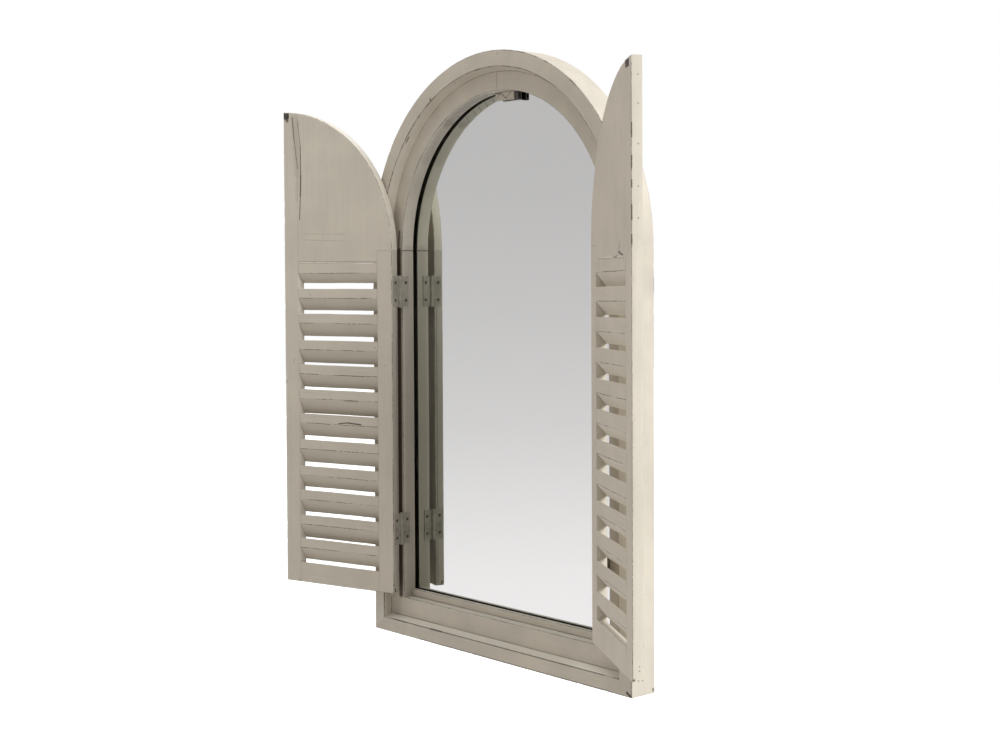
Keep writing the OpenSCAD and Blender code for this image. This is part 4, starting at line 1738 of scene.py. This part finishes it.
@dataclass
class Hardware:
    """The hinges' fixed leaves and pins, the screws in the frame, the catch and what hangs it."""

    leaf_t: float = 1 * MM
    leaf_w: float = 9.8 * MM
    upper_drop: float = 56 * MM
    lower_rise: float = 144 * MM
    pitch: float = 24 * MM
    screw_r: float = 1.1 * MM
    screw_l: float = 9 * MM
    head_r: float = 2.1 * MM
    head_h: float = 0.9 * MM
    cross: Triple = (2.4 * MM, 0.5 * MM, 0.5 * MM)
    hanger_screw: float = 7.7 * MM
    hanger_sink: float = 0.05 * MM
    case_ease: float = 0.4 * MM
    case_waist: float = 1.1 * MM
    pole_share: float = 0.3

    @property
    def screw_back(self) -> float:
        """How far behind the inner frame's face the leaves' screws are."""
        return self.leaf_w * 0.55

    def screw_heights(self) -> list[float]:
        """Heights of the leaves' screws above the origin."""
        middles = (-self.upper_drop, -SIZES.foot + self.lower_rise)
        return [SIZES.spring + z + k * self.pitch for z in middles for k in (-0.5, 0.5)]

    def screw_values(self, seed: int) -> dict[str, object]:
        """Lists the screw tree's named inputs.

        Args:
            seed: The seed of the heads' turns.

        Returns:
            Their values by name.
        """
        return {
            "Head Radius": self.head_r, "Head Depth": self.head_h, "Shank Radius": self.screw_r,
            "Length": self.screw_l, "Cross Length": self.cross[0], "Cross Width": self.cross[1],
            "Cross Depth": self.cross[2], "Seed": seed,
        }

    def build(
        self, metal: Material, dark: Material, screw: Material,
        zinc: Material, pads: Material,
    ) -> None:
        """Builds the screws and the catch, and dresses the solids that are shown as they are.

        Args:
            metal: The painted hinges.
            dark: The catch.
            screw: The screws.
            zinc: The hanging plates and brads.
            pads: The wall pads.
        """
        spots: list[Vector] = []
        ways: list[Vector] = []
        for side in Side:
            across = side.value * (SIZES.mouth_r - self.leaf_t)
            spots += [Vector((across, SIZES.step + self.screw_back, z)) for z in self.screw_heights()]
            ways += [Vector((-side.value, 0, 0))] * len(self.screw_heights())
        middle, back = (SIZES.arch_r + SIZES.recess_r) / 2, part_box("hanging_plates")[1].y - self.hanger_sink
        for side in Side:
            spots += [Vector((side.value * middle + k * self.hanger_screw, back, 0)) for k in (-1, 1)]
            ways += [Vector((0, 1, 0))] * 2
        made = grown("frame_screw_set", spots, screw_tree(), self.screw_values(3), screw, facing=ways)
        keep(made, "root", ["frame_screws"])
        for node, coat in (
            ("jamb_hinge_leaves", metal), ("hinge_pins", metal), ("hanging_plates", zinc),
            ("panel_brads", zinc), ("wall_pads", pads),
        ):
            dress(node, coat)
        self.build_catch(dark)

    def build_catch(self, dark: Material) -> None:
        """Builds the catch's case: a dark block with a waist between its two pole plates.

        Args:
            dark: The case's material.
        """
        lo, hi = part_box("magnetic_catch")
        r, foot, ease = SIZES.mouth_r - SIZES.glue, lo.z - SIZES.spring, self.case_ease
        plate = (hi.y - lo.y) * self.pole_share
        cuts = (lo.y, lo.y + plate, hi.y - plate, hi.y)
        whole = Skin()
        for near, far, inset in zip(cuts, cuts[1:], (0.0, self.case_waist, 0.0)):
            x0, x1 = lo.x + inset, hi.x - inset
            case = Outline(step=1.5 * MM).start(x0, foot + inset, ease).line(x1, foot + inset, ease)
            case.line(x1, r * math.sin(math.acos(x1 / r)), ease)
            case.arc(r, math.acos(x1 / r), math.acos(x0 / r), ease=ease).line(x0, foot + inset, ease)
            smooth = {"waviness": 0.02 * MM, "chipping": 0.1 * MM}
            whole.take(Board(case.closed(), near, far, seed=27.0, upright=False, **smooth).skin())
        keep(whole.piece("magnetic_catch_case", dark), "root", ["magnetic_catch"])


def silver_coat(coat: Material, gap: float = 0.03 * MM, ease: float = 0.02 * MM) -> Object:
    """Lays the silver just behind the glass, clear of its back face so that light can tell them apart.

    Args:
        coat: The silver's material.
        gap: How far it lies inside its solid, at the front and at the back.
        ease: The easing of its arrises.

    Returns:
        The piece.
    """
    lo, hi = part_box("mirror_silvering")
    r, foot = hi.x, lo.z - SIZES.spring
    pane = Outline(step=4 * MM).start(-r, foot, ease).line(r, foot, ease).line(r, 0, ease)
    pane.arc(r, 0, math.pi, ease=ease).line(-r, foot, ease)
    skin = Board(pane.closed(), lo.y + gap, hi.y - gap, seed=3.0, waviness=0.0, chipping=0.0).skin()
    return keep(skin.piece("silver_coat", coat), "root", ["mirror_silvering"])


# ---------- the studio ----------


@dataclass(frozen=True)
class Lamp:
    """A distant soft lamp: its strength, the way towards it, its spread in degrees and its colour."""

    name: str
    strength: float
    toward: Triple
    spread: float
    colour: Triple = (1.0, 1.0, 1.0)


@dataclass
class Studio:
    """The camera, the lamps, the backdrop and the pale floor."""

    eye: Triple = (1.54291, -1.35292, 0.01476)
    forward: Triple = (-0.75736, 0.65239, -0.02817)
    right: Triple = (0.65275, 0.75756, -0.00503)
    focal: float = 1594.61
    rise: float = 318.26
    width: int = 1000
    height: int = 750
    sensor: float = 36.0
    reach: float = 60.0
    lamps: tuple[Lamp, ...] = (
        Lamp("key", 3.75, (0.856, 0.045, 0.42), 30.0, (0.95, 0.975, 1.0)),
        Lamp("overhead", 1.25, (0.1, -0.15, 1.0), 60.0),
        Lamp("front", 0.40, (0.1, -0.7, -0.7), 100.0),
        Lamp("fill", 1.0, (-0.94, -0.234, 0.249), 60.0),
    )
    ambient: float = 0.33
    ambient_slope: Triple = (0.0, -0.08, -0.15)
    room_tint: Triple = (1.0, 0.962, 0.9)
    mirrored_tint: Triple = (1.244, 1.169, 1.2386)
    fall_off: tuple[Pair, ...] = (
        (-0.30, 0.93), (-0.189, 0.84), (-0.162, 0.79), (-0.096, 0.652), (-0.026, 0.57), (0.051, 0.513),
        (0.15, 0.495),
    )
    floor_drop: float = 0.62
    floor_half: float = 12.0
    floor_tint: Triple = (0.86, 0.86, 0.86)
    floor_glow: float = 0.35

    def build(self) -> None:
        """Sets up everything around the object."""
        self.place_camera()
        self.light()
        self.backdrop()
        self.floor()
        bpy.context.scene.view_settings.view_transform = "Standard"

    def place_camera(self) -> None:
        """Stands the camera where the photograph was taken from."""
        data = bpy.data.cameras.new("camera")
        data.sensor_width = self.sensor
        data.lens = self.focal / self.width * data.sensor_width
        data.shift_y = (self.rise - self.height / 2) / self.width
        data.clip_end = self.reach
        ahead, across = Vector(self.forward).normalized(), Vector(self.right)
        across = (across - ahead * across.dot(ahead)).normalized()
        turn = Matrix((across, across.cross(ahead), -ahead)).transposed()
        camera = bpy.data.objects.new("camera", data)
        camera.matrix_world = Matrix.Translation(self.eye) @ turn.to_4x4()
        bpy.context.scene.collection.objects.link(camera)
        bpy.context.scene.camera = camera

    def light(self) -> None:
        """Hangs the lamps, which neither the mirror nor the metal shows."""
        for lamp in self.lamps:
            data = bpy.data.lights.new(lamp.name, "SUN")
            data.energy, data.angle, data.color = lamp.strength, math.radians(lamp.spread), lamp.colour
            holder = bpy.data.objects.new(lamp.name, data)
            holder.rotation_mode = "QUATERNION"
            holder.rotation_quaternion = Vector(lamp.toward).to_track_quat("Z", "Y")
            holder.visible_glossy = holder.visible_transmission = False
            bpy.context.scene.collection.objects.link(holder)

    def backdrop(self) -> None:
        """Shows white to the camera, and a soft grey fall-off to the mirror and the metal."""
        world = bpy.data.worlds.new("studio")
        bpy.context.scene.world = world
        world.use_nodes = True
        wires = Wires(world.node_tree)
        wires.tree.nodes.clear()
        path = wires.node("ShaderNodeLightPath").outputs
        way = wires.node("ShaderNodeTexCoord").outputs["Generated"]
        low, high = self.fall_off[0][0], self.fall_off[-1][0]
        height = {"Value": wires.parts(way)["Z"], "From Min": low, "From Max": high}
        spread = wires.node("ShaderNodeMapRange", height).outputs["Result"]
        ramp = wires.node("ShaderNodeValToRGB", {"Fac": spread})
        while len(ramp.color_ramp.elements) < len(self.fall_off):
            ramp.color_ramp.elements.new(0.5)
        for element, (z, level) in zip(ramp.color_ramp.elements, self.fall_off):
            element.position = (z - low) / (high - low)
            element.color = opaque(tuple(level * tint for tint in self.mirrored_tint))
        level = wires.plus(wires.vector("DOT_PRODUCT", way, self.ambient_slope, "Value"), self.ambient)
        room, mirrored, white = (wires.node("ShaderNodeBackground", given).outputs[0] for given in (
            {"Color": opaque(self.room_tint), "Strength": level},
            {"Color": ramp.outputs["Color"]},
            {"Color": opaque((1.0, 1.0, 1.0))}))
        polished = wires.most(path["Is Glossy Ray"], path["Is Transmission Ray"])
        seen = wires.mixed(path["Is Camera Ray"], wires.mixed(polished, room, mirrored), white)
        wires.node("ShaderNodeOutputWorld", {"Surface": seen})

    def floor(self) -> None:
        """Lays a wide pale floor far under the mirror, which only camera rays see; to every other ray it is
        clear.
        """
        level = SIZES.spring - SIZES.foot - self.floor_drop
        half = self.floor_half
        corners = [(x * half, y * half, level) for x, y in ((-1, -1), (1, -1), (1, 1), (-1, 1))]
        mesh = bpy.data.meshes.new("floor")
        mesh.from_pydata(corners, [], [(0, 1, 2, 3)])
        made = bpy.data.objects.new("floor", mesh)
        bpy.context.scene.collection.objects.link(made)
        coat = bpy.data.materials.new("pale_floor")
        coat.use_nodes = True
        wires = Wires(coat.node_tree)
        wires.tree.nodes.clear()
        matt = wires.node("ShaderNodeBsdfDiffuse", {"Color": opaque(self.floor_tint)})
        glow = wires.node("ShaderNodeEmission", {"Strength": self.floor_glow})
        both = wires.node("ShaderNodeAddShader", {0: matt.outputs[0], 1: glow.outputs[0]})
        clear = wires.node("ShaderNodeBsdfTransparent")
        path = wires.node("ShaderNodeLightPath").outputs
        seen = wires.mixed(path["Is Camera Ray"], clear.outputs[0], both.outputs[0])
        wires.node("ShaderNodeOutputMaterial", {"Surface": seen})
        mesh.materials.append(coat)


# ---------- how the slats sit, and marks seen in the photograph, in millimetres ----------

LEFT_DRIFTS = (0.45, 1.2, 1.65, -0.3, 0.7, 1.5, 2.5, 1.0, -0.7, 0.4, 0.55, 2.5)
LEFT_DROOPS = (-4.0, -0.3, 1.25, 1.6, 1.8, 4.6, 2.0, 2.4, 0.7, 1.9, 3.3, 0.9)
RIGHT_DRIFTS = (0.0, 2.4, 3.3, 3.0, 2.7, 3.2, 3.4, 2.9, 3.1, 2.6, 3.3, 3.0)
RIGHT_DROOPS = (2.5, 1.5, 0.4, -0.3, 0.5, 0.2, -0.2, 0.4, 0.0, 0.3, -0.3, 0.2)
INNER = 12.5
BLOCK = 1000 * (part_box("crown_block")[0].y - SIZES.front)


def lines(depth: float, rows: Sequence[tuple], tone: Tone = Tone.DARK, ragged: float = 0.8) -> Marks:
    """Makes marks on a flat face.

    Args:
        depth: The face's depth in place coordinates.
        rows: Start and end in X and Z, half width and strength of each mark.
        tone: What the marks show.
        ragged: How uneven their outlines are.

    Returns:
        The marks.
    """
    return tuple(Mark((x0, depth, z0), (x1, depth, z1), width, tone, strength, ragged)
                 for x0, z0, x1, z1, width, strength in rows)


def dots(depth: float, rows: Sequence[Triple], strength: float = 0.85, ragged: float = 0.9) -> Marks:
    """Makes nail holes and specks on a flat face.

    Args:
        depth: The face's depth in place coordinates.
        rows: X, Z and half width of each.
        strength: How dark they are.
        ragged: How uneven their outlines are.

    Returns:
        The marks.
    """
    return tuple(Mark((x, depth, z), (x + 0.3, depth, z + 0.4), width, Tone.DARK, strength, ragged)
                 for x, z, width in rows)


def hatch(radius: float, near: float, far: float, turns: Sequence[float], slant: float = 3.5) -> Marks:
    """Makes slanting scratches across the reveal of the arch.

    Args:
        radius: The reveal's radius.
        near: Depth at which the scratches begin.
        far: Depth at which they end.
        turns: Where each begins, in degrees from the right-hand spring.
        slant: How far each turns on its way, in degrees.

    Returns:
        The marks.
    """

    def spot(turn: float, depth: float) -> Triple:
        """A point of the reveal."""
        return (radius * math.cos(math.radians(turn)), depth, radius * math.sin(math.radians(turn)))

    return tuple(Mark(spot(turn, near), spot(turn - slant, far), width=0.85, strength=0.65, ragged=1.6)
                 for turn in turns)


SMEAR = (
    lines(INNER, ((28, 187, 33, 110, 9, 0.65), (33, 110, 31, 74, 5, 0.45)), Tone.GREY, 6.0)
    + lines(INNER, ((23.0, 190.0, 26.8, 157.0, 1.3, 0.8), (26.8, 157.0, 32.4, 118.0, 1.0, 0.65),
                    (33.4, 184.0, 37.6, 150.0, 0.9, 0.6)), ragged=3.0)
)
LEFT_STILE_MARKS = (
    SMEAR
    # painted shade: grey down the whole hinge edge, which stands in shade beside the frame
    + lines(4.0, ((198.4, -466, 198.4, 0, 4.8, 0.8),), Tone.GREY, 2.0)
    + lines(8.6, ((198.4, -466, 198.4, 0, 4.8, 0.8),), Tone.GREY, 2.0)
    + lines(INNER, ((8, 196, 14, 186, 3.5, 0.85), (22.5, -151.9, 23.0, -157.0, 0.6, 0.7)))
    + dots(INNER, ((31.4, -466.4, 1.0), (10.1, -184.5, 0.8), (185.4, -157.3, 0.8)))
    + (Mark((198.4, 12.2, -455.5), (198.2, 12.0, -458.5), 1.3, Tone.DARK, 0.85, 1.6),
       Mark((198.4, 9.8, -462.8), (197.6, 8.0, -466.6), 1.8, Tone.DARK, 0.9, 2.2),
       Mark((198.0, 3.0, -40.0), (198.4, 3.0, -466.0), 1.0, Tone.DARK, 0.5, 1.6))
)
LEFT_MARKS = (
    SMEAR
    + lines(INNER, ((37.6, 150.0, 38.2, 107.1, 1.1, 0.9), (38.2, 107.1, 37.2, 78.8, 1.7, 0.95),
                    (37.2, 78.8, 35.6, 46.0, 1.2, 0.85), (45.3, 25.1, 117.6, 23.8, 0.5, 0.35),
                    (45.2, 16.7, 117.5, 14.1, 0.5, 0.35), (84.7, -174.0, 124.2, -172.8, 0.9, 0.8),
                    (124.2, -172.8, 163.0, -174.4, 1.0, 0.8), (114.1, -209.0, 136.9, -208.0, 1.5, 0.6),
                    (103.9, -240.3, 120.3, -238.6, 1.2, 0.9), (120.3, -238.6, 143.0, -240.2, 1.5, 0.9)))
    + lines(INNER, ((36.0, -14.8, 58.0, -15.0, 0.9, 1.0), (64.0, -15.1, 80.0, -15.2, 0.8, 1.0),
                    (86.0, -15.3, 101.0, -15.6, 0.8, 1.0)), Tone.PALE, 1.2)
    + lines(INNER, ((32.0, -13.6, 172.0, -15.0, 0.6, 0.5),))
    + dots(INNER, ((53.5, -60.9, 0.9), (150.2, -64.8, 0.9), (162.4, -64.7, 0.8), (172.8, -64.7, 1.0),
                   (168.8, -133.0, 0.9)))
)
RIGHT_STILE_MARKS = (
    dots(INNER, ((9.1, -3.7, 0.9), (14.5, -60.2, 0.8), (10.1, -94.3, 0.9), (10.3, -110.6, 0.8)))
    + tuple(Mark((7.1, INNER - 0.2, top), (7.1, INNER - 0.2, top - run), 1.5, Tone.DARK, 0.9, 1.8)
            for top, run in ((127, 15), (92, 13), (66, 7), (40, 16), (8, 9)))
    + (Mark((7.1, INNER - 0.2, 190.0), (7.1, INNER - 0.2, -466.0), 0.85, Tone.DARK, 0.5, 1.8),)
    + tuple(Mark((7.0, 4.6, z), (7.0, 4.9, z + 0.4), 0.9)
            for z in (177.4, 146.9, 104.3, 59.5, 25.8, -452.0, -456.8))
    + (Mark((7.0, 12.0, -466.6), (7.0, 10.6, -466.0), 1.7, Tone.DARK, 0.9, 1.5),
       Mark((7.0, 6.0, -467.2), (7.0, 5.7, -467.0), 1.0), Mark((7.0, 1.2, -467.0), (7.0, 1.6, -467.0), 1.0))
)
RIGHT_MARKS = (
    lines(INNER, ((159.2, -15.9, 107.7, -15.6, 0.7, 0.6), (107.7, -15.6, 39.0, -15.6, 0.6, 0.45),
                  (159.2, -17.2, 157.2, -28.5, 0.8, 0.8), (44.0, -12.2, 56.0, -11.0, 1.6, 0.8),
                  (52.6, -10.6, 63.3, -8.8, 2.2, 0.75), (58.8, -1.3, 60.2, -5.0, 1.6, 0.7),
                  (70.0, -13.4, 84.0, -14.6, 1.2, 0.7)), ragged=2.6)
    + lines(INNER, ((96.0, -14.6, 156.0, -15.2, 1.6, 0.9), (48.0, -13.6, 70.0, -14.4, 1.1, 0.8)),
            Tone.PALE, 1.8)
    + dots(INNER, ((32.9, -439.4, 1.1), (66.0, -12.5, 0.7)))
)
FOOT_CHIP = (242.8, -520.3, 249.6, -524.4, 2.3, 1.0)
CORNER_MARKS = (
    Mark((-236.0, 6.7, -504.5), (-227.0, 12.3, -502.8), 1.9, Tone.DARK, 0.95, 1.5),
    Mark((250.0, 36.0, -520.7), (250.0, 36.6, -522.4), 2.2),
)
RIM_MARKS = (
    lines(0.0, ((-119.6, 198.8, -117.2, 195.8, 2.2, 0.85), FOOT_CHIP), ragged=1.4)
    + dots(0.0, ((16.7, 243.8, 1.0),))
    + (Mark((-225.6, 10.6, -479.0), (-225.8, 10.6, -502.0), 0.9, Tone.DARK, 0.8, 1.0),
       # painted shade: grey down the lower left slope of the rim, towards the inner corner
       Mark((-227.2, 6.7, -500.0), (-227.2, 6.7, -250.0), 4.5, Tone.GREY, 0.8, 2.0),
       Mark((-241.0, 0.0, -516.0), (-241.0, 0.0, -470.0), 13.0, Tone.PALE, 0.35, 5.0),
       Mark((-176.0, 3.0, 146.0), (-170.0, 3.0, 152.5), 1.6, Tone.DARK, 0.7, 2.0),
       Mark((-146.5, 0.4, 176.0), (-143.0, 0.4, 179.0), 1.4, Tone.DARK, 0.8, 1.6),
       Mark((-72.8, 4.0, 216.2), (-72.2, 4.0, 216.4), 1.2))
    + CORNER_MARKS
)
FOOT_MARKS = (
    # the row at z -524.7 is a painted shadow along the rail's bottom arris; the other rows are worn arrises
    # and a chip
    lines(0.3, ((-225, -506.4, -205, -506.4, 0.8, 0.5), (-205, -506.4, -180, -506.5, 1.6, 0.9),
                (-180, -506.5, -126.8, -506.5, 1.2, 0.8), (-126.8, -506.5, -102, -506.5, 2.0, 0.9),
                (-102, -506.5, 205, -506.6, 1.2, 0.8), (-150, -524.7, 215, -524.7, 1.7, 0.75),
                FOOT_CHIP), ragged=1.6)
    + lines(13.2, ((-222, -502.4, 214, -502.4, 1.0, 0.5),))
    + CORNER_MARKS
)
STEP_MARKS = (
    # the rows at x -207.8 and -208.8 are a painted shadow in the gap beside the left hinge stile; the others
    # are the crown seam and the line where the sill meets the rail
    lines(13.4, ((0.4, 203.0, 0.4, 222.0, 0.6, 0.7), (-222, -502.4, -125, -502.4, 0.8, 0.6),
                 (-207.8, -474.0, -207.8, 0.0, 6.4, 0.98), (-208.8, 0.0, -206.4, 26.0, 3.0, 0.75)))
    # painted shade: grey on the step face beside the left hinge
    + lines(13.4, ((-216.0, -496.0, -216.0, 0.0, 10.0, 0.4), (-216.0, 0.0, -208.0, 56.0, 9.0, 0.35)),
            Tone.GREY, 5.0)
    + (Mark((-200.6, 13.8, 0.0), (-200.6, 33.0, 0.0), 0.9, Tone.DARK, 0.9, 0.6),
       # these three are painted shade on the left reveal and up its arch; the line at the spring before them
       # is the joint
       Mark((-200.6, 24.0, -476.0), (-200.6, 24.0, 0.0), 11.0, Tone.GREY, 0.75, 4.0),
       Mark((-160.0, 24.0, 121.0), (-110.0, 24.0, 167.8), 11.0, Tone.GREY, 0.5, 5.0),
       Mark((-110.0, 24.0, 167.8), (-40.0, 24.0, 196.6), 12.0, Tone.DARK, 0.28, 6.0),
       Mark((-31.0, 20.0, 198.2), (-19.0, 27.0, 199.7), 1.5, Tone.DARK, 0.85, 1.5))
    + lines(BLOCK, ((-18.0, 199.4, -8.9, 197.8, 1.1, 0.8), (-16.0, 192.0, -9.0, 198.0, 0.8, 0.7),
                    (-8.8, 199.8, 3.0, 191.2, 0.9, 0.8), (3.0, 191.2, 12.0, 199.0, 0.8, 0.7)), ragged=1.4)
    + hatch(200.6, 16.0, 30.0, (122, 117.5, 114, 110, 106, 101))
)


def main() -> None:
    """Builds the studio and the object, piece by piece."""
    logging.basicConfig(level=logging.INFO, format="%(message)s")
    Studio().build()
    metal = PaintedMetal().material()
    dark, screw, zinc = (ScuffedSteel(*look).material() for look in (
        ("catch_steel", (0.10, 0.095, 0.085), (0.045, 0.04, 0.035), 0.5, (0.4, 0.62)),
        ("blackened_screws", (0.05, 0.045, 0.04), (0.10, 0.09, 0.075), 0.4, (0.45, 0.65)),
        ("zinc_steel", (0.62, 0.62, 0.60), (0.42, 0.42, 0.41))))
    # level paints faces that look up or down paler, a painted light; the step's depth setting paints the
    # shadow in the gap at the glass
    outer = {"seams": 0.35, "line_from": 0.46, "mottle": 1.7}
    rim = PaintedWood("painted_rim", marks=RIM_MARKS, unbroken=0.55, **outer).material()
    foot = PaintedWood("painted_foot", marks=FOOT_MARKS, unbroken=0.5, level=1.0, **outer).material()
    inner = {"seams": 0.5, "line_from": 0.6, "mottle": 1.8, "raw_depth": 32.0 * MM}
    step = PaintedWood("painted_step", marks=STEP_MARKS, unbroken=0.5, level=1.0, **inner).material()
    OuterFrame(rim, foot).build()
    InnerFrame(step).build()
    left, left_stiles, right, right_stiles = (
        PaintedWood(name, marks=marks, lined=lined, level=level, seams=0.3, unbroken=0.15).material()
        for name, marks, lined, level in (
            ("painted_left_shutter", LEFT_MARKS, 0.8, 0.75),
            ("painted_left_stiles", LEFT_STILE_MARKS, 0.8, 0.0),
            ("painted_right_shutter", RIGHT_MARKS, 0.8, 0.6),
            ("painted_right_stiles", RIGHT_STILE_MARKS, 0.2, 0.0)))
    Shutter(Side.LEFT, left, left_stiles, metal, dark, screw, LEFT_DRIFTS, LEFT_DROOPS).build()
    Shutter(Side.RIGHT, right, right_stiles, metal, dark, screw, RIGHT_DRIFTS, RIGHT_DROOPS,
            slat_edge=17.2 * MM, lean=2.0 * MM, panel_sag=1.9 * MM).build()
    Hardware().build(metal, dark, screw, zinc, Felt().material())
    dress("mirror_glass", ClearGlass().material())
    silver_coat(Silvering().material())
    dress("back_panel", Plywood().material())


if __name__ == "__main__":
    main()
